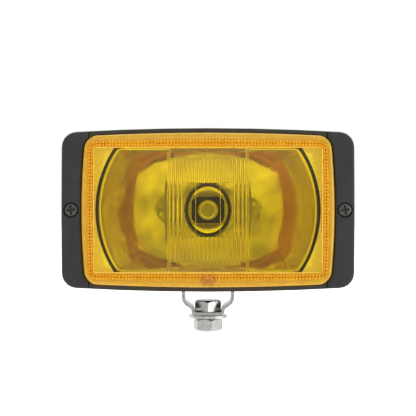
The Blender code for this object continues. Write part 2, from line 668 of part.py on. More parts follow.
def pan_screw(name, x, z, head_y, head_radius, head_height, shank_radius, length, body, steel):
    """A pan head with a cross recess; its Z is turned to point out of the lens side."""
    place = Matrix.Translation(lamp_point(x, head_y, z)) @ Matrix.Rotation(math.pi / 2, 4, "X")
    rounding = 0.35 * head_height
    profile = [(0.0, head_height), (0.72 * head_radius, 0.96 * head_height),
               (0.92 * head_radius, head_height - rounding), (head_radius, 0.4 * head_height),
               (head_radius, 0.0), (shank_radius, 0.0), (shank_radius, shank_radius - length), (0.0, -length)]
    screw = turned(name, profile, place)
    wing = RECESS_WING * head_radius
    blade = RECESS_BLADE * head_radius
    floor_y = head_y - RECESS_DEPTH * head_height
    for turn, half_x, half_z in (("across", wing, blade), ("upright", blade, wing)):
        cut(screw, box(name + "_" + turn, lamp_point(x - half_x, -LAMP_Z, z - half_z),
                       lamp_point(x + half_x, floor_y, z + half_z)))
    return as_part(screw, body, steel)


# ---------------------------------------------------------------- lens, seal and reflector

def lens(body, glass):
    """A shallow dish: skirt, rounded edge, flat border, and a window that bows forward."""
    sections = [(LENS_BACK_Y, lens_outline())]
    for depth, inset in LENS_EDGE:
        sections.append((depth * MM, lens_outline(-inset * MM)))
    for depth, inset in LENS_WINDOW:
        half_width = LENS_HALF_WIDTH - inset * MM
        half_height = LENS_HALF_HEIGHT - inset * MM
        sections.append((depth * MM, bulged_rectangle(half_width, half_height, MM, MM, LENS_WINDOW_CORNER)))
    shell = lofted_shell("lens", sections, LENS_WALL, close_last=True, side=-1)
    for side, sign in (("left", -1), ("right", 1)):
        near, far = sorted((sign * TONGUE_INNER_X, sign * TONGUE_OUTER_X))
        join(shell, box("lens_tongue_" + side, lamp_point(near, TONGUE_FRONT_Y, -TONGUE_HALF_HEIGHT),
                        lamp_point(far, TONGUE_BACK_Y, TONGUE_HALF_HEIGHT)))
    return as_part(shell, body, glass)


def lens_seal(body, rubber):
    back = FLANGE_FRONT_Y - GAP
    front = back - SEAL_THICKNESS
    seal = prism("lens_seal", lens_outline(-SEAL_OUTER_INSET), front, back, lamp_point)
    cut(seal, prism("seal_opening", lens_outline(-SEAL_INNER_INSET), 2 * front, 0.0, lamp_point))
    return as_part(seal, body, rubber)


def flat_sided_circle(radius, flat_half_height, steps=40):
    outline = []
    for step in range(steps):
        angle = 2 * math.pi * step / steps
        z = radius * math.sin(angle)
        outline.append((radius * math.cos(angle), max(-flat_half_height, min(flat_half_height, z))))
    return outline


def bowl_depth(radius):
    return VERTEX_Y - radius ** 2 / (4 * FOCAL_LENGTH)


def reflector_flange():
    """The flat sheet round the bowl; its opening ends in the middle of the bowl's wall."""
    outline = bulged_rectangle(REFLECTOR_FLANGE_HALF_WIDTH, REFLECTOR_FLANGE_HALF_HEIGHT, RIM_LIP, RIM_LIP,
                               REFLECTOR_FLANGE_CORNER)
    back = REFLECTOR_FLANGE_Y + REFLECTOR_WALL
    flange = prism("reflector_flange", outline, REFLECTOR_FLANGE_Y, back, lamp_point)
    middle = (REFLECTOR_FLANGE_Y + back) / 2
    radius = math.sqrt(4 * FOCAL_LENGTH * (VERTEX_Y - middle)) + REFLECTOR_WALL / 2
    opening = flat_sided_circle(radius, FLAT_HALF_HEIGHT + REFLECTOR_WALL / 2)
    return cut(flange, prism("flange_opening", opening, RIM_Y, 0.0, lamp_point))


def reflector(body, metal):
    """The bowl with its rolled rim, pressed from one sheet with the flat flange that two screws hold."""
    sections = [(RIM_Y + RIM_LIP, flat_sided_circle(RIM_RADIUS + 2 * RIM_LIP, FLAT_HALF_HEIGHT + 2 * RIM_LIP)),
                (RIM_Y, flat_sided_circle(RIM_RADIUS + 1.3 * RIM_LIP, FLAT_HALF_HEIGHT + 1.3 * RIM_LIP))]
    for radius in [radius * MM for radius in BOWL_RADII] + [HOLE_RADIUS]:
        sections.append((bowl_depth(radius), flat_sided_circle(radius, FLAT_HALF_HEIGHT)))
    bowl = lofted_shell("reflector", sections, REFLECTOR_WALL, close_last=False, side=1)
    join(bowl, reflector_flange())
    for side, x, z in REFLECTOR_SCREWS:
        radius = REFLECTOR_SCREW_SHANK_RADIUS + GAP
        cut(bowl, screw_boss("flange_hole_" + side, x, radius, -2 * LAMP_Z, 0.0, z))
    return as_part(bowl, body, metal)


# ---------------------------------------------------------------- bulb group

def bulb_place():
    """Turned bulb pieces have their own Z along the reflector's axis, towards the lens."""
    return Matrix.Translation(lamp_point(0, BULB_SEAT_Y, 0)) @ Matrix.Rotation(math.pi / 2, 4, "X")


def bulb_holder(body, steel):
    """A pressed cup: flange behind the reflector, tube through its hole, lip that the bulb rests behind."""
    flange = BULB_SEAT_Y - VERTEX_Y - HOLDER_STAND_OFF
    inner = HOLDER_TUBE_RADIUS - HOLDER_WALL
    lip = BULB_BASE_RADIUS + GAP
    lip_back = HOLDER_FRONT - HOLDER_WALL
    profile = [(lip, HOLDER_FRONT), (HOLDER_TUBE_RADIUS, HOLDER_FRONT), (HOLDER_TUBE_RADIUS, flange),
               (HOLDER_FLANGE_RADIUS, flange), (HOLDER_FLANGE_RADIUS, flange - HOLDER_WALL),
               (inner, flange - HOLDER_WALL), (inner, lip_back), (lip, lip_back), (lip, HOLDER_FRONT)]
    return as_part(turned("bulb_holder", profile, bulb_place()), body, steel)


def bulb_base(body, steel):
    edge = 0.8 * MM
    profile = [(0.0, BULB_BASE_FRONT), (BULB_BASE_RADIUS - edge, BULB_BASE_FRONT),
               (BULB_BASE_RADIUS, BULB_BASE_FRONT - edge), (BULB_BASE_RADIUS, BULB_FLANGE_FRONT),
               (BULB_FLANGE_RADIUS, BULB_FLANGE_FRONT), (BULB_FLANGE_RADIUS, BULB_FLANGE_BACK),
               (BULB_PLUG_RADIUS, BULB_FLANGE_BACK), (BULB_PLUG_RADIUS, BULB_PLUG_BACK), (0.0, BULB_PLUG_BACK)]
    return as_part(turned("bulb_base", profile, bulb_place()), body, steel)


def bulb_glass(body, quartz):
    """A capsule open towards its base, with an even wall; both profiles run from the tip's axis outwards."""
    start = BULB_BASE_FRONT + GAP
    dome_centre = BULB_GLASS_TIP - BULB_GLASS_RADIUS
    outside = arc((0.0, dome_centre), BULB_GLASS_RADIUS, 90, 0, 4)
    inside = arc((0.0, dome_centre), BULB_GLASS_RADIUS - BULB_GLASS_WALL, 90, 0, 4)
    outside[0] = (0.0, BULB_GLASS_TIP)
    inside[0] = (0.0, BULB_GLASS_TIP - BULB_GLASS_WALL)
    open_end = [(BULB_GLASS_RADIUS, start), (BULB_GLASS_RADIUS - BULB_GLASS_WALL, start)]
    profile = outside + open_end + inside[::-1]
    return as_part(turned("bulb_glass", profile, bulb_place(), steps=20), body, quartz)


def bulb_filament(body, tungsten):
    """One wire: up a support, along a coil across the axis at the reflector's focus, and down the other."""
    focus_y = VERTEX_Y - FOCAL_LENGTH
    base_y = BULB_SEAT_Y - BULB_BASE_FRONT - GAP
    leg_x = COIL_HALF_LENGTH + COIL_LEG
    count = COIL_TURNS * COIL_STEPS
    points = [lamp_point(-leg_x, base_y, 0), lamp_point(-leg_x, focus_y, 0)]
    for step in range(count + 1):
        angle = 2 * math.pi * step / COIL_STEPS
        across = COIL_HALF_LENGTH * (2 * step / count - 1)
        depth = focus_y + COIL_RADIUS * math.cos(angle)
        points.append(lamp_point(across, depth, COIL_RADIUS * math.sin(angle)))
    points += [lamp_point(leg_x, focus_y, 0), lamp_point(leg_x, base_y, 0)]
    return as_part(wire("bulb_filament", points, COIL_WIRE_RADIUS, resolution=0), body, tungsten)


def bulb_clip(body, steel):
    """A spring wire that lies across the bulb's back; it turns about its upper run."""
    foot_y = BULB_SEAT_Y - BULB_FLANGE_BACK + GAP + CLIP_WIRE_RADIUS
    half = [lamp_point(-CLIP_END_X, CLIP_PIVOT_Y, CLIP_PIVOT_HEIGHT)]
    for depth, height in ((CLIP_PIVOT_Y, CLIP_PIVOT_HEIGHT), (CLIP_PIVOT_Y, 6 * MM), (foot_y, 0.0),
                          (foot_y, -2.5 * MM), (CLIP_PIVOT_Y, -5 * MM), (CLIP_PIVOT_Y, -12 * MM)):
        half.append(lamp_point(-CLIP_HALF_WIDTH, depth, height))
    corners = half + [(-x, y, z) for x, y, z in reversed(half)]
    path = rounded_path(corners, [CLIP_BEND] * len(corners), 2)
    return as_part(wire("bulb_clip", path, CLIP_WIRE_RADIUS), body, steel)


def clip_bracket(body, steel):
    """Two pressed ears behind the holder's flange that the clip's ends turn in."""
    front_y = HOLDER_BACK_Y + GAP
    plate = box("clip_bracket", lamp_point(-PLATE_HALF_WIDTH, front_y, 10.5 * MM),
                lamp_point(PLATE_HALF_WIDTH, front_y + MM, 16.5 * MM))
    for side, sign in (("left", -1), ("right", 1)):
        near, far = sorted((sign * EAR_INNER_X, sign * EAR_OUTER_X))
        join(plate, box("clip_ear_" + side, lamp_point(near, front_y, 11 * MM),
                        lamp_point(far, front_y + EAR_DEPTH, 16.2 * MM)))
    pivot = lamp_point(0, CLIP_PIVOT_Y, CLIP_PIVOT_HEIGHT)
    bore_radius = CLIP_WIRE_RADIUS + GAP
    cut(plate, cylinder("clip_ear_bore", bore_radius, 4 * PLATE_HALF_WIDTH, pivot, ALONG_X, sides=16))
    return as_part(plate, body, steel)


def bulb_wiring(body, insulation, rubber, brass):
    """The bulb's own lead ends in an insulated sleeve; the earth tab stands on the holder's flange."""
    start = BULB_SEAT_Y - BULB_PLUG_BACK + GAP
    near_y = LEAD_RUN_Y - 0.6 * MM
    route = [(0, start, 0), (0, near_y, 0), (5 * MM, LEAD_RUN_Y, 8 * MM), (12 * MM, LEAD_RUN_Y, 9 * MM),
             (18 * MM, near_y, 4 * MM), (22 * MM, near_y, -MM)]
    path = rounded_path([lamp_point(*point) for point in route], [LEAD_BEND] * len(route), 3)
    as_part(wire("bulb_lead", path, LEAD_RADIUS), body, insulation)
    end = Vector(path[-1])
    along = (end - path[-2]).normalized()
    centre = end + along * (GAP + CONNECTOR_LENGTH / 2)
    turn = Vector((0, 0, 1)).rotation_difference(along).to_matrix().to_4x4()
    connector = cylinder("bulb_connector", CONNECTOR_RADIUS, CONNECTOR_LENGTH, centre, turn, sides=20)
    as_part(connector, body, rubber)
    front_y = HOLDER_BACK_Y + GAP
    tab = box("earth_tab", lamp_point(-TAB_HALF_WIDTH, front_y, TAB_LOW),
              lamp_point(TAB_HALF_WIDTH, front_y + TAB_THICKNESS, TAB_HIGH))
    join(tab, box("earth_blade", lamp_point(-TAB_HALF_WIDTH, front_y, TAB_LOW),
                  lamp_point(TAB_HALF_WIDTH, front_y + TAB_LENGTH, TAB_LOW + TAB_THICKNESS)))
    as_part(tab, body, brass)


def cable_grommet(body, rubber):
    """A turned grommet whose groove takes the housing's wall."""
    place = Matrix.Translation(lamp_point(GROMMET_X, HOUSING_BACK_Y, GROMMET_HEIGHT)) @ ALONG_Y
    inside = -HOUSING_WALL - GROMMET_INSIDE
    wall_in = -HOUSING_WALL - GAP
    profile = [(GROMMET_HOLE_RADIUS, GROMMET_OUTSIDE), (GROMMET_NECK_RADIUS, GROMMET_OUTSIDE),
               (GROMMET_FLANGE_RADIUS, GAP + GROMMET_LIP), (GROMMET_FLANGE_RADIUS, GAP),
               (GROMMET_NECK_RADIUS, GAP), (GROMMET_NECK_RADIUS, wall_in),
               (GROMMET_FLANGE_RADIUS - MM, wall_in),
               (GROMMET_NECK_RADIUS, inside), (GROMMET_HOLE_RADIUS, inside),
               (GROMMET_HOLE_RADIUS, GROMMET_OUTSIDE)]
    return as_part(turned("cable_grommet", profile, place), body, rubber)


# ---------------------------------------------------------------- assembly

def build_fog_light():
    clear_scene()
    zinc = make_material("zinc_plated_steel", (0.62, 0.61, 0.58), 0.32, metallic=1.0)
    plastic = make_material("black_moulding", (0.045, 0.047, 0.045), 0.6)
    clamp_plastic = make_material("clamp_moulding", (0.05, 0.052, 0.05), 0.6)
    screw_steel = make_material("dark_screw_steel", (0.2, 0.2, 0.2), 0.4, metallic=1.0)
    glass = make_material("amber_glass", (0.85, 0.5, 0.02), 0.05, transmission=0.8)
    rubber = make_material("black_rubber", (0.02, 0.02, 0.02), 0.8)
    bright = make_material("reflector_metal", (0.85, 0.85, 0.84), 0.08, metallic=1.0)
    steel = make_material("plain_steel", (0.4, 0.4, 0.4), 0.35, metallic=1.0)
    quartz = make_material("quartz_glass", (0.95, 0.95, 0.95), 0.02, transmission=1.0)
    tungsten = make_material("tungsten", (0.3, 0.3, 0.3), 0.4, metallic=1.0)
    insulation = make_material("lead_insulation", (0.03, 0.03, 0.03), 0.6)
    brass = make_material("brass", (0.7, 0.5, 0.2), 0.3, metallic=1.0)

    mount = make_body("mount_body", (0, 0, 0))
    swivel = make_body("swivel_body", (0, 0, 0))
    lamp = make_body("lamp_body", (0, 0, PIVOT_Z))
    clip = make_body("clip_body", lamp_point(0, CLIP_PIVOT_Y, CLIP_PIVOT_HEIGHT))

    mounting_hardware(mount, zinc)
    mounting_bracket(swivel, zinc)
    mounting_bolt(swivel, zinc)
    pivot_hardware(swivel, zinc)

    rear_housing(lamp, plastic)
    for side, sign in (("left", -1), ("right", 1)):
        side_clamp(side, sign, lamp, clamp_plastic)
        pan_screw("clamp_screw_" + side, sign * CLAMP_SCREW_X, 0.0, CLAMP_SCREW_SEAT_Y, CLAMP_SCREW_HEAD_RADIUS,
                  CLAMP_SCREW_HEAD_HEIGHT, SCREW_SHANK_RADIUS, CLAMP_SCREW_LENGTH, lamp, screw_steel)
    for side, x, z in REFLECTOR_SCREWS:
        pan_screw("reflector_screw_" + side, x, z, REFLECTOR_SCREW_SEAT_Y, REFLECTOR_SCREW_HEAD_RADIUS,
                  REFLECTOR_SCREW_HEAD_HEIGHT, REFLECTOR_SCREW_SHANK_RADIUS, REFLECTOR_SCREW_LENGTH, lamp,
                  steel)
    lens(lamp, glass)
    lens_seal(lamp, rubber)
    reflector(lamp, bright)
    bulb_holder(lamp, steel)
    bulb_base(lamp, steel)
    bulb_glass(lamp, quartz)
    bulb_filament(lamp, tungsten)
    bulb_clip(clip, steel)
    clip_bracket(lamp, steel)
    bulb_wiring(lamp, insulation, rubber, brass)
    cable_grommet(lamp, rubber)


build_fog_light()
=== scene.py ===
"""Looks for a rectangular amber fog light on a single-bolt bracket.

Metres, +Z up, the lens facing -Y. The pieces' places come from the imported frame.
"""

import math

import bmesh
import bpy
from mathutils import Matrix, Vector


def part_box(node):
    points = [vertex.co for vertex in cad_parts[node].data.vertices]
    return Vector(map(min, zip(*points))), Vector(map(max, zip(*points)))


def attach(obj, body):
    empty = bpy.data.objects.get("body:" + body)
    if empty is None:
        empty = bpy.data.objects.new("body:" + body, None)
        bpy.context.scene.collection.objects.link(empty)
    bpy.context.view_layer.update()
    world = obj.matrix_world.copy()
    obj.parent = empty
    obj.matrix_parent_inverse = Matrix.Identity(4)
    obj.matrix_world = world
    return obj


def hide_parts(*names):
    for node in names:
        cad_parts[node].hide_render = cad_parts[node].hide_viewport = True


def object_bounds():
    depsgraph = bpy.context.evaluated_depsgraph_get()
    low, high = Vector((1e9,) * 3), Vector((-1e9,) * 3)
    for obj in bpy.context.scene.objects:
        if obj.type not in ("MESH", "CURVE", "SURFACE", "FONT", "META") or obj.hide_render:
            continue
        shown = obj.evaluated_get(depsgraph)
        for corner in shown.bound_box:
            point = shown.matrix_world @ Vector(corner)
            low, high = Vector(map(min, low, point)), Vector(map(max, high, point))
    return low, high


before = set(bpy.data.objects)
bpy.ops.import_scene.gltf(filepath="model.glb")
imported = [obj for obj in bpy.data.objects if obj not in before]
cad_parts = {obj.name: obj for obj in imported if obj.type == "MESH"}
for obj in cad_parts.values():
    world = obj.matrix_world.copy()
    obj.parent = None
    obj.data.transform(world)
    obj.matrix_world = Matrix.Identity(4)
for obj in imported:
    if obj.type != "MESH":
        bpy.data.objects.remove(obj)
cad_low, cad_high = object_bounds()

MM = 0.001
SHARP = math.radians(32)
TEXTURE_REACH = (0.3, 0.7)          # where most of a noise texture's values lie
WELD = 0.001 * MM                   # points closer than this are one point

# Places read from the frame.
LENS_LOW, LENS_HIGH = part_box("lens")
LAMP_Z = (LENS_LOW.z + LENS_HIGH.z) / 2
LENS_BACK_Y = LENS_HIGH.y
LENS_HALF_HEIGHT = (LENS_HIGH.z - LENS_LOW.z) / 2
RIM_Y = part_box("reflector")[0].y
BULB_TIP_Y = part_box("bulb_glass")[0].y
BULB_GLASS_BACK_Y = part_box("bulb_glass")[1].y
BULB_GLASS_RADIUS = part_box("bulb_glass")[1].x
CAP_FRONT_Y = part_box("bulb_base")[0].y
CAP_BACK_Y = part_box("bulb_base")[1].y
CAP_FLANGE_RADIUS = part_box("bulb_base")[1].x
HOLDER_FRONT_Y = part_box("bulb_holder")[0].y
HOLDER_BACK_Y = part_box("bulb_holder")[1].y
HOLDER_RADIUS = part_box("bulb_holder")[1].x
FLOOR_Z = cad_low.z

# Lens: a border of ribs round a flat-sided window.
LENS_HALF_WIDTH = 78.8 * MM
LENS_BULGE = 1.7 * MM
LENS_CORNER = 9.0 * MM
WINDOW_HALF_WIDTH = 70.7 * MM
WINDOW_HALF_HEIGHT = 38.6 * MM
WINDOW_FRONT_Y = -42.0 * MM
WINDOW_BOW = 1.8 * MM
WINDOW_WALL = 3.0 * MM
WINDOW_CLEARANCE = 0.03 * MM
SKIRT_FRONT_Y = -39.6 * MM
BORDER_BACK_Y = -38.9 * MM
BORDER_FACE_Y = -41.7 * MM
RIB_HEIGHT = 1.5 * MM
RIB_STEPS = 16
# The lip's and the bead's profiles: share of the way in from the border's outer edge, and Y in millimetres.
LIP_PROFILE = ((0.012, -40.5), (0.045, -41.2), (0.1, -41.7), (0.17, -42.0), (0.25, -42.15), (0.33, -42.05),
               (0.39, -41.8))
BEAD_PROFILE = ((0.91, -42.4), (0.96, -42.6), (1.0, -42.3))
# The step in the border's back, the same way, in front of the skirt.
STEP_PROFILE = ((0.4, -38.5), (0.36, -37.5))
STEP_START = 0.5                    # a share of the way in, as the next five are
STEP_END = 0.33
LIP_END = 0.43
RIBS_START = 0.45
RIBS_END = 0.87
BEAD_SIDE = 0.89
EDGE_RINGS = 3                      # the border's outermost rings, painted a lighter yellow as a glow
BEAD_START = len(LIP_PROFILE) + RIB_STEPS + 3     # the ring where the bead starts, after the lip and the ribs
BEAD_END = BEAD_START + len(BEAD_PROFILE) + 1
BOSS_HEIGHT = -LENS_HALF_HEIGHT + 4.4 * MM
BOSS_RADIUS = 5.6 * MM
BOSS_WIDTH_TO_HEIGHT = 1.35
BOSS_LOBES = 6
BOSS_LOBES_DEPTH = 0.1
BOSS_RELIEF = 1.6 * MM
SIDE_RIBS = 18
TOP_RIBS = 34
SAMPLES_PER_RIB = 8
CORNER_SAMPLES = 40

# The block of flutes in the middle of the window's back.
CENTRE_HALF_WIDTH = 7.8 * MM
CENTRE_HALF_HEIGHT = 17.0 * MM
CENTRE_DEPTH = 0.25 * MM
BLOCK_HALF_WIDTH = 23.4 * MM
BLOCK_HALF_HEIGHT = 32.3 * MM
BAR_WIDTH = 2.0 * MM
BAR_DEPTH = 0.9 * MM
LEDGE_HALF_HEIGHT = 36.6 * MM
LEDGE_DEPTH = 0.9 * MM
FLUTES_EACH_SIDE = 6
FLUTE_WIDTH = (BLOCK_HALF_WIDTH - CENTRE_HALF_WIDTH) / FLUTES_EACH_SIDE
PLAIN_HALF_WIDTH = CENTRE_HALF_WIDTH + 3 * FLUTE_WIDTH    # no flutes in front of the bulb
CENTRE_FLUTES = 3                   # each side of the middle, above and below the bulb
FLUTE_DEPTH = 0.9 * MM
FLUTE_SAMPLES = 10
WINDOW_END_COLUMNS = 16             # the plain stretch at each end of the window
BULB_ROWS = 8                       # beside the bulb
FLUTE_ROWS = 8                      # from there to the block's end
GAP_ROWS = 3                        # from the block to the ledge
LEDGE_ROWS = 6
EDGE_STEP = 0.25 * MM               # how fast the flutes end

# Reflector: a paraboloid cut off flat above and below, with a pressed seat round its opening and a flange.
FOCAL_LENGTH = 29.0 * MM
RIM_RADIUS = 67.0 * MM
CURVE_RADIUS = 69.0 * MM            # where the paraboloid would meet the rim's plane
FLAT_HALF_HEIGHT = 37.5 * MM
REFLECTOR_WALL = 0.8 * MM
HAIR = 0.01 * MM                    # less than this short of the rim's radius is on its round ends
ROUND_END_ANGLES = 24               # points in each quarter, on its round end and on its flat
FLAT_ANGLES = 36
VERTEX_Y = RIM_Y + CURVE_RADIUS ** 2 / (4 * FOCAL_LENGTH)
RIM_LIP = 1.2 * MM
RIM_TURNS = 9                       # steps in the rim's roll
RIM_ROUND = 0.7                     # the roll's depth for its width
RIM_TURN_START = math.radians(20)
RIM_TURN_END = math.radians(200)
GAP_START = 1.6 * RIM_LIP           # the gap outside the rim, painted dark as shade, from here
GAP_END = 3.6 * RIM_LIP             # to here
ROLL_BRIGHT = 6                     # rings of the roll that are polished, before it turns down into painted shade
FLANGE_Y = RIM_Y + 3.9 * MM
FLANGE_HALF_WIDTH = 75.2 * MM
FLANGE_HALF_HEIGHT = 44.6 * MM
FLANGE_CORNER = 6.0 * MM
SEAT_RADIUS = 13.3 * MM             # half the seat's width
GROOVE_RADIUS = 15.7 * MM
SEAT_STRETCH = 1.2                  # the seat is this much taller than wide
GROOVE_EDGE = 0.3 * MM              # how far its edges are rounded
GROOVE_DEPTHS = (0.0, 0.2, 0.8, 1.3, 0.6)    # in millimetres, from the seat's side outwards
SEAT_ROWS = 1 + len(GROOVE_DEPTHS)  # from the opening's edge; the bowl's own rows follow
# First row, last row and material of each band of the seat: bright 0 or dark 1, which is painted shade on the
# groove's walls.
SEAT_BANDS = ((0, 1, 0), (1, 3, 1), (3, 5, 0), (5, SEAT_ROWS, 1))
BOWL_STEPS = 44
WALL_STEPS = 12

# Bulb holder's cup, and the bulb in it.
CUP_HALF_WIDTH = 11.4 * MM
CUP_HALF_HEIGHT = 9.4 * MM
CUP_CORNER = 5.0 * MM
CUP_WALL = 0.8 * MM
CUP_EDGE = 0.2 * MM                 # how far the cup's front edge is rounded back
CUP_ROUND = (0.7, 0.3)              # shares of the wall's thickness where that edge is highest
CUP_FLOOR = 4.5 * MM
CAP_RADIUS = 7.1 * MM
DISC_RADIUS = 6.4 * MM              # bright pressed disc on the cap's front
CAP_CLEARANCE = 0.3 * MM
CAP_SEAT = 1.9 * MM                 # behind the cup's front edge
CAP_FLANGE = 1.0 * MM
CAP_FLANGE_BEHIND = 0.2 * MM
PLUG_RADIUS = 5.0 * MM
DISC_BEHIND = 0.1 * MM              # how far the disc's edge and the cap's edge are behind the cap's front
CAP_EDGE_BEHIND = 0.6 * MM
# The rings pressed in the cap's front: radius and depth in millimetres.
CAP_RINGS = ((0.0, 0.0), (1.5, 0.0), (1.8, 0.5), (2.6, 0.5), (2.9, 0.0), (4.6, 0.0), (4.9, 0.4), (5.3, 0.4),
             (5.6, 0.0))
CAPSULE_WALL = 0.9 * MM
CAPSULE_STEPS = 14
ROUND_STEPS = 64

# Clamp screws.
SCREW_TURN = math.radians(8)
SCREW_WING = 0.68                   # the cross's reach, and its half width, as shares of the head's radius
SCREW_BLADE = 0.2
SCREW_RECESS = 1.1 * MM
SCREW_WALL = 0.18 * MM              # how wide the cross's sloping walls are
SCREW_TAPER = 0.35                  # how much narrower each wing of the cross is at its end
SCREW_HEAD_HEIGHT = 2.3 * MM
SCREW_SHANK_RADIUS = 2.0 * MM
SCREW_EDGE = 0.92 * MM              # how far the head's face falls back at its rounded edge
SCREW_CROWN = 0.15 * MM             # and over its dome
SCREW_RINGS = 34
SCREW_SHADE_DEPTH = 0.4                    # share of the cross's depth below which it is painted dark as shade

# Camera: straight on, a little above the lamp's centre.
CAMERA_LENS = 97.3
CAMERA_SENSOR = 36.0
CAMERA_DISTANCE = 0.74
CAMERA_LIFT = 1.25 * MM

# The darkest and the lightest tone of each moulding. The housing's tones are black warmed with painted orange
# light from the lens.
HOUSING_BLACK_AND_LENS_GLOW = ((0.022, 0.019, 0.012), (0.034, 0.029, 0.018))
CLAMP_BLACK = ((0.0118, 0.015, 0.0142), (0.0182, 0.022, 0.0212))

# The room's grey at each angle in degrees from the camera's side.
ROOM_BRIGHTNESS = ((0, 0.4), (6, 0.5), (13, 0.95), (24, 0.95), (40, 0.7), (58, 0.62), (72, 0.75), (82, 0.9),
                   (95, 1.0))
ROOM_CLOUDS = 3.2                   # how many patches of light and dark there are across it
ROOM_UNEVEN = (0.62, 1.38)
ROOM_BELOW = 1.3                    # how much brighter the room is towards the floor
ROOM_ABOVE = 0.8                    # and how much dimmer overhead
ROOM_HEIGHTS = (-0.5, 0.5)          # of a direction, from ROOM_BELOW to ROOM_ABOVE
CLOUD_REACH = (0.35, 0.65)
CLOUD_DETAIL = 1.5

# Soft panels: name, place, size and radiance.
PANELS = (("left", (-1.05, -0.5, 0.5), (0.4, 0.9), 1.0),
          ("right", (1.1, -0.45, 0.3), (0.5, 1.0), 3.2),
          ("top", (0.0, 0.0, 1.3), (1.5, 1.1), 1.8))

FLOOR_HALF_WIDTH = 4.0
FLOOR_SQUARES = 8
FLOOR_DROP = 0.05 * MM              # below the object, so that no faces share a plane


# ---------------------------------------------------------------- materials

def map_range(nodes, links, source, reach, result):
    """A node output that goes over result, a pair, as source goes over reach, another pair."""
    spread_out = nodes.new("ShaderNodeMapRange")
    spread_out.inputs["From Min"].default_value = reach[0]
    spread_out.inputs["From Max"].default_value = reach[1]
    spread_out.inputs["To Min"].default_value = result[0]
    spread_out.inputs["To Max"].default_value = result[1]
    links.new(source, spread_out.inputs["Value"])
    return spread_out.outputs["Result"]


class Finish:
    """A Principled material, with short calls for the textures that detail it."""

    def __init__(self, name, colour, roughness, metallic=0.0):
        self.material = bpy.data.materials.new(name)
        self.material.use_nodes = True
        self.nodes = self.material.node_tree.nodes
        self.links = self.material.node_tree.links
        self.shader = self.nodes["Principled BSDF"]
        self.set("Base Color", (*colour, 1.0))
        self.set("Roughness", roughness)
        self.set("Metallic", metallic)
        self.place = self.nodes.new("ShaderNodeTexCoord").outputs["Object"]

    def set(self, socket, value):
        self.shader.inputs[socket].default_value = value

    def noise(self, size, detail=3.0, stretch=(1.0, 1.0, 1.0)):
        """Noise whose features are about size metres, longer where stretch is above 1."""
        mapping = self.nodes.new("ShaderNodeMapping")
        mapping.inputs["Scale"].default_value = [1.0 / along for along in stretch]
        texture = self.nodes.new("ShaderNodeTexNoise")
        texture.inputs["Scale"].default_value = 1.0 / size
        texture.inputs["Detail"].default_value = detail
        self.links.new(self.place, mapping.inputs["Vector"])
        self.links.new(mapping.outputs["Vector"], texture.inputs["Vector"])
        return texture.outputs[0]

    def cells(self, size):
        texture = self.nodes.new("ShaderNodeTexVoronoi")
        texture.inputs["Scale"].default_value = 1.0 / size
        self.links.new(self.place, texture.inputs["Vector"])
        return texture.outputs["Distance"]

    def vary(self, socket, source, low, high):
        """The socket follows source, from low where it is small to high where it is large."""
        value = map_range(self.nodes, self.links, source, TEXTURE_REACH, (low, high))
        self.links.new(value, self.shader.inputs[socket])

    def tint(self, source, low, high):
        """The base colour goes from low to high with source."""
        ramp = self.nodes.new("ShaderNodeValToRGB")
        ramp.color_ramp.elements[0].position = TEXTURE_REACH[0]
        ramp.color_ramp.elements[0].color = (*low, 1.0)
        ramp.color_ramp.elements[1].position = TEXTURE_REACH[1]
        ramp.color_ramp.elements[1].color = (*high, 1.0)
        self.links.new(source, ramp.inputs["Fac"])
        self.links.new(ramp.outputs["Color"], self.shader.inputs["Base Color"])

    def relief(self, source, height, strength=1.0):
        """A bump of that height in metres, added over any bump that is there already."""
        bump = self.nodes.new("ShaderNodeBump")
        bump.inputs["Distance"].default_value = height
        bump.inputs["Strength"].default_value = strength
        socket = self.shader.inputs["Normal"]
        if socket.is_linked:
            self.links.new(socket.links[0].from_socket, bump.inputs["Normal"])
        self.links.new(source, bump.inputs["Height"])
        self.links.new(bump.outputs["Normal"], socket)

    def let_lamps_through(self, colour):
        """Rays to the lamps pass straight through, tinted, so that what is behind the glass is lit."""
        clear = self.nodes.new("ShaderNodeBsdfTransparent")
        clear.inputs["Color"].default_value = (*colour, 1.0)
        path = self.nodes.new("ShaderNodeLightPath")
        mix = self.nodes.new("ShaderNodeMixShader")
        output = self.nodes["Material Output"]
        self.links.new(path.outputs["Is Shadow Ray"], mix.inputs["Fac"])
        self.links.new(self.shader.outputs["BSDF"], mix.inputs[1])
        self.links.new(clear.outputs["BSDF"], mix.inputs[2])
        self.links.new(mix.outputs["Shader"], output.inputs["Surface"])


def moulded_black(name, low, high, grain):
    """Spark-textured black plastic; grain is the size of its texture."""
    finish = Finish(name, low, 0.5)
    finish.tint(finish.noise(9 * MM), low, high)
    finish.vary("Roughness", finish.noise(2 * MM), 0.46, 0.62)
    finish.relief(finish.noise(grain, detail=2.0), 0.06 * MM, 0.5)
    finish.relief(finish.cells(1.7 * grain), 0.03 * MM, 0.25)
    finish.set("Specular IOR Level", 0.45)
    return finish.material


def zinc_plate():
    """Bright zinc over pressed steel: faint drawing lines, cloudy passivation and tiny pits."""
    finish = Finish("zinc_plated_steel", (0.7, 0.69, 0.67), 0.25, metallic=1.0)
    finish.tint(finish.noise(2.4 * MM, detail=5.0), (0.44, 0.435, 0.42), (0.6, 0.59, 0.575))
    finish.vary("Roughness", finish.noise(1.1 * MM), 0.2, 0.36)
    finish.relief(finish.noise(0.5 * MM, stretch=(1.0, 1.0, 6.0)), 0.03 * MM, 0.3)
    finish.relief(finish.noise(1.6 * MM), 0.05 * MM, 0.35)
    return finish.material


def steel(name, low, high, roughness):
    finish = Finish(name, low, roughness, metallic=1.0)
    finish.tint(finish.noise(1.2 * MM), low, high)
    finish.vary("Roughness", finish.noise(0.6 * MM), roughness - 0.06, roughness + 0.1)
    finish.relief(finish.noise(0.4 * MM), 0.02 * MM, 0.3)
    return finish.material


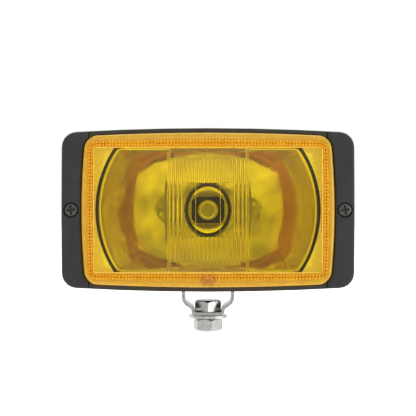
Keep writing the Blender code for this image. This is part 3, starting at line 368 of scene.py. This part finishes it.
def amber_window():
    """Clear yellow glass, with an index below real glass so that it mirrors less of the room."""
    finish = Finish("amber_window", (0.99, 0.83, 0.06), 0.0)
    finish.set("Transmission Weight", 1.0)
    finish.set("IOR", 1.42)
    finish.relief(finish.noise(7 * MM, detail=1.0), 0.05 * MM, 0.2)
    finish.let_lamps_through((0.98, 0.8, 0.1))
    return finish.material


def amber_border():
    """The same glass where its ribs trap the light: deeper in colour and nearly opaque."""
    finish = Finish("amber_border", (0.88, 0.51, 0.02), 0.1)
    finish.tint(finish.noise(5 * MM), (0.84, 0.46, 0.016), (0.92, 0.56, 0.024))
    finish.set("Transmission Weight", 0.45)
    finish.set("IOR", 1.49)
    finish.relief(finish.noise(3 * MM, detail=1.0), 0.05 * MM, 0.3)
    finish.let_lamps_through((0.9, 0.6, 0.1))
    return finish.material


def amber_edge():
    """Thin edges of the glass, painted a lighter yellow as a glow."""
    finish = Finish("amber_edge", (0.95, 0.6, 0.03), 0.08)
    finish.tint(finish.noise(4 * MM), (0.9, 0.54, 0.025), (0.98, 0.66, 0.035))
    finish.set("Transmission Weight", 0.35)
    finish.set("IOR", 1.49)
    finish.let_lamps_through((0.95, 0.65, 0.05))
    return finish.material


def amber_boss():
    """The solid boss at the bottom, which is redder."""
    finish = Finish("amber_boss", (0.62, 0.24, 0.006), 0.12)
    finish.tint(finish.noise(2 * MM), (0.46, 0.16, 0.004), (0.76, 0.34, 0.01))
    finish.set("Transmission Weight", 0.4)
    finish.set("IOR", 1.49)
    finish.let_lamps_through((0.7, 0.25, 0.02))
    return finish.material


def reflector_metal():
    """Lacquered aluminium on pressed steel, slightly wavy."""
    finish = Finish("reflector_metal", (0.9, 0.89, 0.87), 0.03, metallic=1.0)
    finish.vary("Roughness", finish.noise(6 * MM), 0.02, 0.07)
    finish.relief(finish.noise(14 * MM, detail=1.0), 0.16 * MM, 0.35)
    finish.relief(finish.noise(1.5 * MM, detail=2.0), 0.02 * MM, 0.1)
    return finish.material


def satin_metal():
    """The reflector's flange, with a little emission so that it shows yellow through the glass, not brown."""
    finish = Finish("reflector_flange", (0.93, 0.92, 0.9), 0.24, metallic=0.4)
    finish.set("Emission Color", (1.0, 1.0, 1.0, 1.0))
    finish.set("Emission Strength", 0.35)
    finish.vary("Roughness", finish.noise(3 * MM), 0.2, 0.3)
    finish.relief(finish.noise(0.6 * MM), 0.02 * MM, 0.3)
    return finish.material


def painted_shade_steel():
    """Near-black steel that is painted shade: the back of the reflector's turned edge and the gap outside it,
    its groove, the inside of the bulb's cup, the cap round its disc and the deep of the screws' crosses.
    """
    finish = Finish("painted_shade_steel", (0.012, 0.011, 0.01), 0.5)
    finish.tint(finish.noise(1.5 * MM), (0.008, 0.0075, 0.007), (0.02, 0.019, 0.017))
    finish.vary("Roughness", finish.noise(0.9 * MM), 0.42, 0.6)
    finish.relief(finish.noise(0.5 * MM), 0.03 * MM, 0.3)
    return finish.material


def clear_quartz():
    finish = Finish("quartz_glass", (0.98, 0.98, 0.98), 0.0)
    finish.set("Transmission Weight", 1.0)
    finish.set("IOR", 1.46)
    finish.relief(finish.noise(2.5 * MM, detail=1.0), 0.03 * MM, 0.3)
    finish.let_lamps_through((0.95, 0.95, 0.95))
    return finish.material


def rubber(name, low, high):
    finish = Finish(name, low, 0.75)
    finish.tint(finish.noise(2 * MM), low, high)
    finish.vary("Roughness", finish.noise(0.8 * MM), 0.65, 0.85)
    finish.relief(finish.noise(0.3 * MM), 0.03 * MM, 0.4)
    return finish.material


def make_materials():
    return {
        # The housing's black carries a warm tint of painted light from the lens.
        "black_moulding": moulded_black("black_moulding", *HOUSING_BLACK_AND_LENS_GLOW, 0.35 * MM),
        "clamp_moulding": moulded_black("clamp_moulding", *CLAMP_BLACK, 0.22 * MM),
        "zinc_plated_steel": zinc_plate(),
        "dark_screw_steel": steel("dark_screw_steel", (0.085, 0.085, 0.085), (0.14, 0.14, 0.135), 0.36),
        "plain_steel": steel("plain_steel", (0.42, 0.42, 0.41), (0.58, 0.57, 0.55), 0.26),
        "tungsten": steel("tungsten", (0.3, 0.29, 0.28), (0.45, 0.44, 0.42), 0.4),
        "brass": steel("brass", (0.68, 0.45, 0.16), (0.8, 0.58, 0.24), 0.3),
        "black_rubber": rubber("black_rubber", (0.012, 0.012, 0.012), (0.022, 0.022, 0.021)),
        "lead_insulation": rubber("lead_insulation", (0.016, 0.014, 0.013), (0.03, 0.027, 0.025)),
        "reflector_metal": reflector_metal(),
        "quartz_glass": clear_quartz(),
        "amber_window": amber_window(),
        "amber_border": amber_border(),
        "amber_edge": amber_edge(),
        "amber_boss": amber_boss(),
        "satin_metal": satin_metal(),
        "painted_shade_steel": painted_shade_steel(),
    }


def dress_frame(materials):
    """Each CAD node keeps its shape and takes the finish of its slot."""
    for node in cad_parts.values():
        for place in node.material_slots:
            if place.material and place.material.name.split(".")[0] in materials:
                place.material = materials[place.material.name.split(".")[0]]


# ---------------------------------------------------------------- shapes

def add_piece(name, build, materials, body, replaced):
    """A mesh built by build(bm), in place in the row frame, that stands for CAD nodes."""
    mesh = bpy.data.meshes.new(name)
    bm = bmesh.new()
    build(bm)
    bmesh.ops.recalc_face_normals(bm, faces=bm.faces)
    bm.to_mesh(mesh)
    bm.free()
    piece = bpy.data.objects.new(name, mesh)
    bpy.context.scene.collection.objects.link(piece)
    for material in materials:
        mesh.materials.append(material)
    mesh.shade_smooth()
    mesh.set_sharp_from_angle(angle=SHARP)
    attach(piece, body)
    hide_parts(*replaced)
    return piece


def skin(bm, rows, close_rows=True, material_index=0):
    """Faces between rows of points, each row closed into a ring if close_rows."""
    made = [[bm.verts.new(point) for point in row] for row in rows]
    count = len(made[0])
    last = count if close_rows else count - 1
    for one, other in zip(made, made[1:]):
        for i in range(last):
            j = (i + 1) % count
            face = bm.faces.new((one[i], one[j], other[j], other[i]))
            face.material_index = material_index
    return made


def spread(start, end, steps):
    """Evenly spaced values from start up to but not including end."""
    return [start + (end - start) * step / steps for step in range(steps)]


# ---------------------------------------------------------------- lens

def border_quarter():
    """Pairs (outer edge, window edge) of points, from the right side's middle to the top's middle."""
    corner_x = LENS_HALF_WIDTH - LENS_BULGE - LENS_CORNER
    corner_z = LENS_HALF_HEIGHT - LENS_BULGE - LENS_CORNER
    pairs = []
    for z in spread(0.0, corner_z, SIDE_RIBS * SAMPLES_PER_RIB):
        outer_x = corner_x + LENS_CORNER + LENS_BULGE * (1 - (z / corner_z) ** 2)
        pairs.append(((outer_x, z), (WINDOW_HALF_WIDTH, z)))
    for angle in spread(0.0, math.pi / 2, CORNER_SAMPLES):
        outer = (corner_x + LENS_CORNER * math.cos(angle), corner_z + LENS_CORNER * math.sin(angle))
        share = angle / (math.pi / 4)
        if share <= 1:
            inner = (WINDOW_HALF_WIDTH, corner_z + (WINDOW_HALF_HEIGHT - corner_z) * share)
        else:
            inner = (WINDOW_HALF_WIDTH + (corner_x - WINDOW_HALF_WIDTH) * (share - 1), WINDOW_HALF_HEIGHT)
        pairs.append((outer, inner))
    for x in spread(corner_x, 0.0, TOP_RIBS * SAMPLES_PER_RIB) + [0.0]:
        outer_z = corner_z + LENS_CORNER + LENS_BULGE * (1 - (x / corner_x) ** 2)
        pairs.append(((x, outer_z), (x, WINDOW_HALF_HEIGHT)))
    return pairs


def mirrored_round(quarter):
    """A quarter of pairs repeated into the whole round."""
    def flip(pairs, sign_x, sign_z):
        return [tuple((x * sign_x, z * sign_z) for x, z in pair) for pair in pairs]
    half = quarter + flip(reversed(quarter[:-1]), -1, 1)
    return half + flip(reversed(half[1:-1]), 1, -1)


def rib_relief(x, z, share):
    """How far the border's ribs and boss stand forward, a share of the way in from its outer edge."""
    along = (share - RIBS_START) / (RIBS_END - RIBS_START)
    relief = 0.0
    if 0 < along < 1:
        on_top = abs(z) - WINDOW_HALF_HEIGHT > abs(x) - WINDOW_HALF_WIDTH
        pitch = ((LENS_HALF_WIDTH - LENS_BULGE - LENS_CORNER) / TOP_RIBS if on_top
                 else (LENS_HALF_HEIGHT - LENS_BULGE - LENS_CORNER) / SIDE_RIBS)
        across = (x if on_top else z) / pitch % 1
        relief = RIB_HEIGHT * (1 - (2 * across - 1) ** 2) * math.sqrt(abs(math.sin(2 * math.pi * along)))
    return max(relief, boss_relief(x, z))


def boss_relief(x, z):
    """How far the lobed boss over the drain stands forward at a point."""
    up = (z - BOSS_HEIGHT) * BOSS_WIDTH_TO_HEIGHT
    lobed = BOSS_RADIUS * (1 - BOSS_LOBES_DEPTH + BOSS_LOBES_DEPTH * math.cos(BOSS_LOBES * math.atan2(up, x)))
    share = math.hypot(x, up) / lobed
    return BOSS_RELIEF * math.sqrt(1 - share ** 2) if share < 1 else 0.0


def border_rows():
    """Rings of the border: (share of the way in from its outer edge, depth, whether ribs stand on it)."""
    lip = [(0.0, SKIRT_FRONT_Y)] + [(share, depth * MM) for share, depth in LIP_PROFILE]
    lip.append((LIP_END, BORDER_FACE_Y))
    ribs = [(RIBS_START + (RIBS_END - RIBS_START) * step / RIB_STEPS, BORDER_FACE_Y)
            for step in range(RIB_STEPS + 1)]
    bead = [(BEAD_SIDE, BORDER_FACE_Y)] + [(share, depth * MM) for share, depth in BEAD_PROFILE]
    front = lip + ribs + bead
    back = [(1.0, BORDER_BACK_Y), (STEP_START, BORDER_BACK_Y)]
    back += [(share, depth * MM) for share, depth in STEP_PROFILE]
    back += [(STEP_END, LENS_BACK_Y), (0.0, LENS_BACK_Y)]
    rows = [(share, depth, True) for share, depth in front]
    return rows + [(share, depth, False) for share, depth in back]


def window_optics(x, z):
    """How far the window's back stands proud of a plain wall: side bars, flutes and a plain middle."""
    across = abs(x)
    if BLOCK_HALF_WIDTH < across < BLOCK_HALF_WIDTH + BAR_WIDTH:
        return BAR_DEPTH * crown((across - BLOCK_HALF_WIDTH) / BAR_WIDTH)
    if across < BLOCK_HALF_WIDTH and abs(z) > LEDGE_HALF_HEIGHT:
        return LEDGE_DEPTH * crown((abs(z) - LEDGE_HALF_HEIGHT) / (WINDOW_HALF_HEIGHT - LEDGE_HALF_HEIGHT))
    if across >= BLOCK_HALF_WIDTH or abs(z) > BLOCK_HALF_HEIGHT:
        return 0.0
    if across < PLAIN_HALF_WIDTH and abs(z) < CENTRE_HALF_HEIGHT:
        return CENTRE_DEPTH if across < CENTRE_HALF_WIDTH else 0.0
    if across > CENTRE_HALF_WIDTH:
        return FLUTE_DEPTH * crown((across - CENTRE_HALF_WIDTH) / FLUTE_WIDTH % 1)
    return FLUTE_DEPTH * crown(across / CENTRE_HALF_WIDTH * CENTRE_FLUTES % 1)


def crown(share):
    """A rounded ridge: 0 at both ends and 1 in the middle."""
    return 1 - (2 * share - 1) ** 2


def window_columns():
    half = spread(0.0, CENTRE_HALF_WIDTH, CENTRE_FLUTES * FLUTE_SAMPLES)
    half += spread(CENTRE_HALF_WIDTH, BLOCK_HALF_WIDTH, FLUTES_EACH_SIDE * FLUTE_SAMPLES)
    half += spread(BLOCK_HALF_WIDTH, BLOCK_HALF_WIDTH + BAR_WIDTH, FLUTE_SAMPLES)
    edge = WINDOW_HALF_WIDTH - WINDOW_CLEARANCE
    half += spread(BLOCK_HALF_WIDTH + BAR_WIDTH, edge, WINDOW_END_COLUMNS) + [edge]
    return [-x for x in reversed(half[1:])] + half


def window_rows():
    edge = WINDOW_HALF_HEIGHT - WINDOW_CLEARANCE
    half = spread(0.0, CENTRE_HALF_HEIGHT, BULB_ROWS) + [CENTRE_HALF_HEIGHT - EDGE_STEP]
    half += spread(CENTRE_HALF_HEIGHT, BLOCK_HALF_HEIGHT, FLUTE_ROWS)
    half += [BLOCK_HALF_HEIGHT - EDGE_STEP / 10, BLOCK_HALF_HEIGHT + EDGE_STEP]
    half += spread(BLOCK_HALF_HEIGHT + 2 * EDGE_STEP, LEDGE_HALF_HEIGHT, GAP_ROWS)
    half += spread(LEDGE_HALF_HEIGHT, edge, LEDGE_ROWS) + [edge]
    return [-z for z in reversed(half[1:])] + half


def window_front(x, z):
    bow = (1 - (x / WINDOW_HALF_WIDTH) ** 2) * (1 - (z / WINDOW_HALF_HEIGHT) ** 2)
    return WINDOW_FRONT_Y - WINDOW_BOW * bow


def lens_mesh(bm):
    """Window (material 0), ribbed border (1), its edges with a painted glow (2) and the boss under it (3)."""
    pairs = mirrored_round(border_quarter())
    rings = []
    for share, depth, ribbed in border_rows():
        ring = []
        for (outer_x, outer_z), (inner_x, inner_z) in pairs:
            x = outer_x + (inner_x - outer_x) * share
            z = outer_z + (inner_z - outer_z) * share
            y = depth - (rib_relief(x, z, share) if ribbed else 0.0)
            ring.append((x, y, LAMP_Z + z))
        rings.append(ring)
    skin(bm, rings[:EDGE_RINGS], material_index=2)
    skin(bm, rings[EDGE_RINGS - 1:BEAD_START + 1], material_index=1)
    skin(bm, rings[BEAD_START:BEAD_END + 1], material_index=2)
    skin(bm, rings[BEAD_END:] + [rings[0]], material_index=1)
    for face in bm.faces:
        centre = face.calc_center_median()
        if boss_relief(centre.x, centre.z - LAMP_Z) > 0 and centre.y < BORDER_FACE_Y:
            face.material_index = 3
    columns = window_columns()
    rows = window_rows()
    front = [[(x, window_front(x, z), LAMP_Z + z) for x in columns] for z in rows]
    back = [[(x, window_front(x, z) + WINDOW_WALL + window_optics(x, z), LAMP_Z + z) for x in columns]
            for z in rows]
    one = around(skin(bm, front, close_rows=False))
    other = around(skin(bm, back, close_rows=False))
    for i in range(len(one)):
        j = (i + 1) % len(one)
        bm.faces.new((one[i], one[j], other[j], other[i]))
    bmesh.ops.remove_doubles(bm, verts=bm.verts, dist=WELD)


def around(grid):
    """The vertices round the edge of a grid, in order."""
    right = [row[-1] for row in grid[1:]]
    left = [row[0] for row in grid[1:-1]]
    return grid[0] + right + grid[-1][-2::-1] + left[::-1]


# ---------------------------------------------------------------- reflector and bulb

def axis_point(radius, angle, depth):
    """A point that far out from the lamp's axis."""
    return (radius * math.cos(angle), depth, LAMP_Z + radius * math.sin(angle))


def rounded_reach(angle, half_width, half_height, corner):
    """How far out a rounded rectangle's outline is at an angle."""
    across = abs(math.cos(angle))
    up = abs(math.sin(angle))
    if half_width * up <= (half_height - corner) * across:
        return half_width / across
    if half_height * across <= (half_width - corner) * up:
        return half_height / up
    centre_x = half_width - corner
    centre_z = half_height - corner
    along = centre_x * across + centre_z * up
    return along + math.sqrt(along ** 2 - centre_x ** 2 - centre_z ** 2 + corner ** 2)


def oval_reach(angle, half_width):
    """How far out the seat's oval is at an angle."""
    return half_width / math.hypot(math.cos(angle), math.sin(angle) / SEAT_STRETCH)


def rim_reach(angle):
    """How far out the bowl's edge is: round at its ends, flat above and below."""
    up = abs(math.sin(angle))
    return min(RIM_RADIUS, FLAT_HALF_HEIGHT / up) if up > 0 else RIM_RADIUS


def rim_point(angle, out, depth):
    """A point outside the rim: moved radially on its round ends, straight up or down on its flats."""
    near = rim_reach(angle)
    if near < RIM_RADIUS - HAIR:
        x, y, z = axis_point(near, angle, depth)
        return (x, y, z + math.copysign(out, z - LAMP_Z))
    return axis_point(near + out, angle, depth)


def bowl_depth(radius):
    return VERTEX_Y - radius ** 2 / (4 * FOCAL_LENGTH)


def seat_rows(angles):
    """The opening's edge, the flat seat round it and the pressed groove."""
    half_width = CUP_HALF_WIDTH + CAP_CLEARANCE
    half_height = CUP_HALF_HEIGHT + CAP_CLEARANCE
    opening = [rounded_reach(angle, half_width, half_height, CUP_CORNER) for angle in angles]
    flat = bowl_depth(SEAT_RADIUS)
    rows = [[axis_point(near, angle, flat) for near, angle in zip(opening, angles)]]
    groove = (SEAT_RADIUS - GROOVE_EDGE, SEAT_RADIUS, SEAT_RADIUS + GROOVE_EDGE,
              (SEAT_RADIUS + GROOVE_RADIUS) / 2, GROOVE_RADIUS - GROOVE_EDGE)
    for radius, depth in zip(groove, GROOVE_DEPTHS):
        rows.append([axis_point(oval_reach(angle, radius), angle, flat + depth * MM) for angle in angles])
    return rows


def reflector_angles():
    flat_angle = math.asin(FLAT_HALF_HEIGHT / RIM_RADIUS)
    quarter = spread(0.0, flat_angle, ROUND_END_ANGLES) + spread(flat_angle, math.pi / 2, FLAT_ANGLES)
    half = quarter + [math.pi / 2] + [math.pi - angle for angle in reversed(quarter)]
    return half + [2 * math.pi - angle for angle in reversed(half[1:-1])]


def reflector_mesh(bm):
    """Seat, paraboloid and the flats' walls (material 0), with the groove's walls, the back of the rolled rim
    and the gap outside it painted with shade (1), and flange (2).
    """
    angles = reflector_angles()
    bowl = seat_rows(angles)
    for step in range(BOWL_STEPS + 1):
        row = []
        for angle in angles:
            start = oval_reach(angle, GROOVE_RADIUS)
            radius = start + (rim_reach(angle) - start) * step / BOWL_STEPS
            row.append(axis_point(radius, angle, bowl_depth(radius)))
        bowl.append(row)
    edge = bowl[-1]
    for step in range(1, WALL_STEPS + 1):
        bowl.append([(x, depth + (RIM_Y - depth) * step / WALL_STEPS, z) for x, depth, z in edge])
    rim = [bowl[-1]]
    for turn in spread(RIM_TURN_START, RIM_TURN_END, RIM_TURNS):
        out = RIM_LIP * (1 - math.cos(turn))
        depth = RIM_Y - RIM_ROUND * RIM_LIP * math.sin(turn)
        rim.append([rim_point(angle, out, depth) for angle in angles])
    rim.append([rim_point(angle, GAP_START, FLANGE_Y) for angle in angles])
    inner = [rim_point(angle, GAP_END, FLANGE_Y) for angle in angles]
    outer = []
    for angle in angles:
        reach = rounded_reach(angle, FLANGE_HALF_WIDTH, FLANGE_HALF_HEIGHT, FLANGE_CORNER)
        outer.append(axis_point(reach, angle, FLANGE_Y))
    rim.append(inner)
    for first, last, material_index in SEAT_BANDS:
        skin(bm, bowl[first:last + 1], material_index=material_index)
    skin(bm, bowl[SEAT_ROWS:], material_index=0)
    skin(bm, rim[:ROLL_BRIGHT + 1], material_index=0)
    # Painted shade on the back of the roll and on the gap outside it.
    skin(bm, rim[ROLL_BRIGHT:], material_index=1)
    skin(bm, [inner, outer], material_index=2)
    bmesh.ops.remove_doubles(bm, verts=bm.verts, dist=WELD)


def turn_about_axis(bm, profile, material_index=0):
    """A closed (radius, depth) profile turned about the lamp's axis."""
    angles = spread(0.0, 2 * math.pi, ROUND_STEPS)
    rows = [[axis_point(radius, angle, depth) for angle in angles] for radius, depth in profile]
    skin(bm, rows + [rows[0]], material_index=material_index)
    bmesh.ops.remove_doubles(bm, verts=bm.verts, dist=WELD)


def cap_mesh(bm):
    """The bulb's metal base: a disc of pressed rings, painted shade (material 1) outside it, and its flange.
    """
    seat = HOLDER_FRONT_Y + CAP_SEAT
    rings = [(radius * MM, CAP_FRONT_Y + depth * MM) for radius, depth in CAP_RINGS]
    rings += [(DISC_RADIUS, CAP_FRONT_Y + DISC_BEHIND), (CAP_RADIUS, CAP_FRONT_Y + CAP_EDGE_BEHIND)]
    flange_front = seat - CAP_FLANGE + CAP_FLANGE_BEHIND
    flange_back = seat + CAP_FLANGE_BEHIND
    body = [(CAP_RADIUS, flange_front), (CAP_FLANGE_RADIUS, flange_front), (CAP_FLANGE_RADIUS, flange_back),
            (PLUG_RADIUS, flange_back), (PLUG_RADIUS, CAP_BACK_Y), (0.0, CAP_BACK_Y)]
    turn_about_axis(bm, rings + body)
    # Painted shade on the cap round its disc, where the cup shades it.
    for face in bm.faces:
        centre = face.calc_center_median()
        if math.hypot(centre.x, centre.z - LAMP_Z) > DISC_RADIUS:
            face.material_index = 1


def capsule_mesh(bm):
    """The quartz envelope, with an even wall."""
    outside = []
    inside = []
    for angle in spread(0.0, math.pi / 2, CAPSULE_STEPS) + [math.pi / 2]:
        for side, wall in ((outside, 0.0), (inside, CAPSULE_WALL)):
            radius = BULB_GLASS_RADIUS - wall
            side.append((radius * math.sin(angle), BULB_TIP_Y + BULB_GLASS_RADIUS - radius * math.cos(angle)))
    outside.append((BULB_GLASS_RADIUS, BULB_GLASS_BACK_Y))
    inside.append((BULB_GLASS_RADIUS - CAPSULE_WALL, BULB_GLASS_BACK_Y))
    turn_about_axis(bm, outside + inside[::-1])


def cup_mesh(bm):
    """The pressed holder: a cup, painted with shade inside (material 1), and the flange behind the reflector.
    """
    angles = spread(0.0, 2 * math.pi, 2 * ROUND_STEPS)

    def cup_row(wall, depth):
        reach = [rounded_reach(angle, CUP_HALF_WIDTH - wall, CUP_HALF_HEIGHT - wall, CUP_CORNER - wall)
                 for angle in angles]
        return [axis_point(near, angle, depth) for near, angle in zip(reach, angles)]

    def ring_row(radius, depth):
        return [axis_point(radius, angle, depth) for angle in angles]

    floor_y = HOLDER_FRONT_Y + CUP_FLOOR
    flange_y = HOLDER_BACK_Y - CUP_WALL
    edge_y = HOLDER_FRONT_Y + CUP_EDGE
    hole_radius = CAP_RADIUS + CAP_CLEARANCE
    inside = [ring_row(hole_radius, floor_y), cup_row(CUP_WALL, floor_y), cup_row(CUP_WALL, edge_y)]
    outside = [inside[-1]] + [cup_row(share * CUP_WALL, HOLDER_FRONT_Y) for share in CUP_ROUND]
    outside += [cup_row(0.0, edge_y), cup_row(0.0, flange_y), ring_row(HOLDER_RADIUS, flange_y),
                ring_row(HOLDER_RADIUS, HOLDER_BACK_Y), cup_row(CUP_WALL, HOLDER_BACK_Y),
                cup_row(CUP_WALL, floor_y + CUP_WALL), ring_row(hole_radius, floor_y + CUP_WALL), inside[0]]
    skin(bm, inside, material_index=1)
    skin(bm, outside, material_index=0)
    bmesh.ops.remove_doubles(bm, verts=bm.verts, dist=WELD)


# ---------------------------------------------------------------- clamp screws

def screw_mesh(name):
    """A pan head with a wide cross recess and its shank, in the CAD screw's place."""
    low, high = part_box(name)
    centre_x = (low.x + high.x) / 2
    head_radius = (high.x - low.x) / 2
    seat = low.y + SCREW_HEAD_HEIGHT

    def recess(x, z):
        """How deep the cross is at a point of the head's face, with sloping walls."""
        along = x * math.cos(SCREW_TURN) + z * math.sin(SCREW_TURN)
        across = z * math.cos(SCREW_TURN) - x * math.sin(SCREW_TURN)
        wing = SCREW_WING * head_radius
        deepest = 0.0
        for reach, width in ((abs(along), abs(across)), (abs(across), abs(along))):
            taper = 1 - SCREW_TAPER * reach / wing
            clear = min(wing - reach, SCREW_BLADE * head_radius * taper - width)
            deepest = max(deepest, min(1.0, clear / SCREW_WALL))
        return SCREW_RECESS * deepest

    def build(bm):
        angles = spread(0.0, 2 * math.pi, 2 * ROUND_STEPS)
        rows = []
        for share in spread(0.0, 1.0, SCREW_RINGS) + [1.0]:
            radius = head_radius * share
            fall = SCREW_EDGE * share ** 5 + SCREW_CROWN * share ** 2
            row = []
            for angle in angles:
                x = radius * math.cos(angle)
                z = radius * math.sin(angle)
                row.append((centre_x + x, low.y + fall + recess(x, z), LAMP_Z + z))
            rows.append(row)
        under = ((head_radius, seat), (SCREW_SHANK_RADIUS, seat),
                 (SCREW_SHANK_RADIUS, high.y - SCREW_SHANK_RADIUS), (0.0, high.y))
        for radius, depth in under:
            rows.append([(centre_x + radius * math.cos(angle), depth, LAMP_Z + radius * math.sin(angle))
                         for angle in angles])
        skin(bm, rows)
        bmesh.ops.remove_doubles(bm, verts=bm.verts, dist=WELD)
        for face in bm.faces:
            centre = face.calc_center_median()
            # Painted shade: the cross's deeper faces take the dark material.
            deep = recess(centre.x - centre_x, centre.z - LAMP_Z) > SCREW_SHADE_DEPTH * SCREW_RECESS
            face.material_index = 1 if deep and centre.y < seat else 0
    return build


# ---------------------------------------------------------------- camera, floor and light

def add_object(name, data, location, rotation=(0.0, 0.0, 0.0)):
    made = bpy.data.objects.new(name, data)
    made.location = location
    made.rotation_euler = rotation
    bpy.context.scene.collection.objects.link(made)
    return made


def add_camera():
    camera = bpy.data.cameras.new("camera")
    camera.lens = CAMERA_LENS
    camera.sensor_width = CAMERA_SENSOR
    camera.clip_start = 0.01
    place = (0.0, -CAMERA_DISTANCE, LAMP_Z + CAMERA_LIFT)
    bpy.context.scene.camera = add_object("camera", camera, place, (math.pi / 2, 0.0, 0.0))


def add_floor():
    """A white floor with some light of its own, hidden from mirrors and from rays through the glass."""
    mesh = bpy.data.meshes.new("floor")
    bm = bmesh.new()
    bmesh.ops.create_grid(bm, x_segments=FLOOR_SQUARES, y_segments=FLOOR_SQUARES, size=FLOOR_HALF_WIDTH)
    bm.to_mesh(mesh)
    bm.free()
    floor = add_object("floor", mesh, (0.0, 0.0, FLOOR_Z - FLOOR_DROP))
    floor.visible_glossy = False
    floor.visible_transmission = False
    finish = Finish("floor", (0.9, 0.9, 0.9), 0.8)
    finish.set("Specular IOR Level", 0.0)
    finish.set("Emission Color", (1.0, 1.0, 1.0, 1.0))
    finish.set("Emission Strength", 0.7)
    mesh.materials.append(finish.material)


def add_panel(name, location, size, radiance):
    """A soft white panel facing the lamp, as bright as radiance wherever it is mirrored."""
    light = bpy.data.lights.new(name, "AREA")
    light.shape = "RECTANGLE"
    light.size, light.size_y = size
    light.energy = radiance * math.pi * size[0] * size[1]
    target = Vector((0.0, 0.0, LAMP_Z))
    aim = (target - Vector(location)).to_track_quat("-Z", "Y").to_euler()
    panel = add_object(name, light, location, aim)
    panel.visible_camera = False
    panel.visible_transmission = False


def add_world():
    """White to the camera; to all else a room that is dim near the camera, uneven, and lighter below."""
    world = bpy.data.worlds.new("studio")
    bpy.context.scene.world = world
    world.use_nodes = True
    nodes = world.node_tree.nodes
    links = world.node_tree.links
    place = nodes.new("ShaderNodeTexCoord").outputs["Generated"]
    split = nodes.new("ShaderNodeSeparateXYZ")
    links.new(place, split.inputs["Vector"])
    cloud = nodes.new("ShaderNodeTexNoise")
    cloud.inputs["Scale"].default_value = ROOM_CLOUDS
    cloud.inputs["Detail"].default_value = CLOUD_DETAIL
    links.new(place, cloud.inputs["Vector"])
    strength = nodes.new("ShaderNodeMath")
    strength.operation = "MULTIPLY"
    height = map_range(nodes, links, split.outputs["Z"], ROOM_HEIGHTS, (ROOM_BELOW, ROOM_ABOVE))
    links.new(height, strength.inputs[0])
    uneven = map_range(nodes, links, cloud.outputs[0], CLOUD_REACH, ROOM_UNEVEN)
    links.new(uneven, strength.inputs[1])
    room = nodes["Background"]
    links.new(strength.outputs["Value"], room.inputs["Strength"])
    ramp = nodes.new("ShaderNodeValToRGB")
    links.new(map_range(nodes, links, split.outputs["Y"], (-1.0, 1.0), (0.0, 1.0)), ramp.inputs["Fac"])
    fill_ramp(ramp.color_ramp)
    links.new(ramp.outputs["Color"], room.inputs["Color"])
    backdrop = nodes.new("ShaderNodeBackground")
    backdrop.inputs["Color"].default_value = (1.0, 1.0, 1.0, 1.0)
    path = nodes.new("ShaderNodeLightPath")
    mix = nodes.new("ShaderNodeMixShader")
    links.new(path.outputs["Is Camera Ray"], mix.inputs["Fac"])
    links.new(room.outputs["Background"], mix.inputs[1])
    links.new(backdrop.outputs["Background"], mix.inputs[2])
    links.new(mix.outputs["Shader"], nodes["World Output"].inputs["Surface"])


def fill_ramp(ramp):
    """The room's greys, by how far round from the camera's side a direction is."""
    stops = [(math.sin(math.radians(angle) / 2) ** 2, grey) for angle, grey in ROOM_BRIGHTNESS]
    ramp.elements[0].position = stops[0][0]
    ramp.elements[0].color = (*[stops[0][1]] * 3, 1.0)
    ramp.elements[1].position = stops[-1][0]
    ramp.elements[1].color = (*[stops[-1][1]] * 3, 1.0)
    for position, grey in stops[1:-1]:
        ramp.elements.new(position).color = (grey, grey, grey, 1.0)


def add_lights():
    add_world()
    for name, location, size, radiance in PANELS:
        add_panel(name, location, size, radiance)


def set_render_look():
    scene = bpy.context.scene
    scene.view_settings.view_transform = "Standard"
    scene.cycles.use_denoising = True
    scene.cycles.max_bounces = 20
    scene.cycles.transmission_bounces = 16
    scene.cycles.glossy_bounces = 10
    scene.cycles.transparent_max_bounces = 16
    scene.cycles.sample_clamp_indirect = 8.0


# ---------------------------------------------------------------- the scene

def build_scene():
    add_camera()
    materials = make_materials()
    dress_frame(materials)
    steel_and_shade = [materials["plain_steel"], materials["painted_shade_steel"]]
    screw_metals = [materials["dark_screw_steel"], materials["painted_shade_steel"]]
    ambers = [materials["amber_" + name] for name in ("window", "border", "edge", "boss")]
    bowl_metals = [materials[name] for name in ("reflector_metal", "painted_shade_steel", "satin_metal")]
    quartz = [materials["quartz_glass"]]
    add_piece("lens_moulding", lens_mesh, ambers, "lamp", ["lens"])
    reflector = add_piece("reflector_bowl", reflector_mesh, bowl_metals, "lamp",
                          ["reflector"])
    wall = reflector.modifiers.new("wall", "SOLIDIFY")
    wall.thickness = REFLECTOR_WALL
    wall.offset = -1.0
    add_piece("holder_cup", cup_mesh, steel_and_shade, "lamp", ["bulb_holder"])
    add_piece("bulb_cap", cap_mesh, steel_and_shade, "lamp", ["bulb_base"])
    add_piece("bulb_capsule", capsule_mesh, quartz, "lamp", ["bulb_glass"])
    for side in ("left", "right"):
        node = "clamp_screw_" + side
        add_piece("clamp_screw_head_" + side, screw_mesh(node), screw_metals, "lamp",
                  [node])
    add_floor()
    add_lights()
    set_render_look()


build_scene()
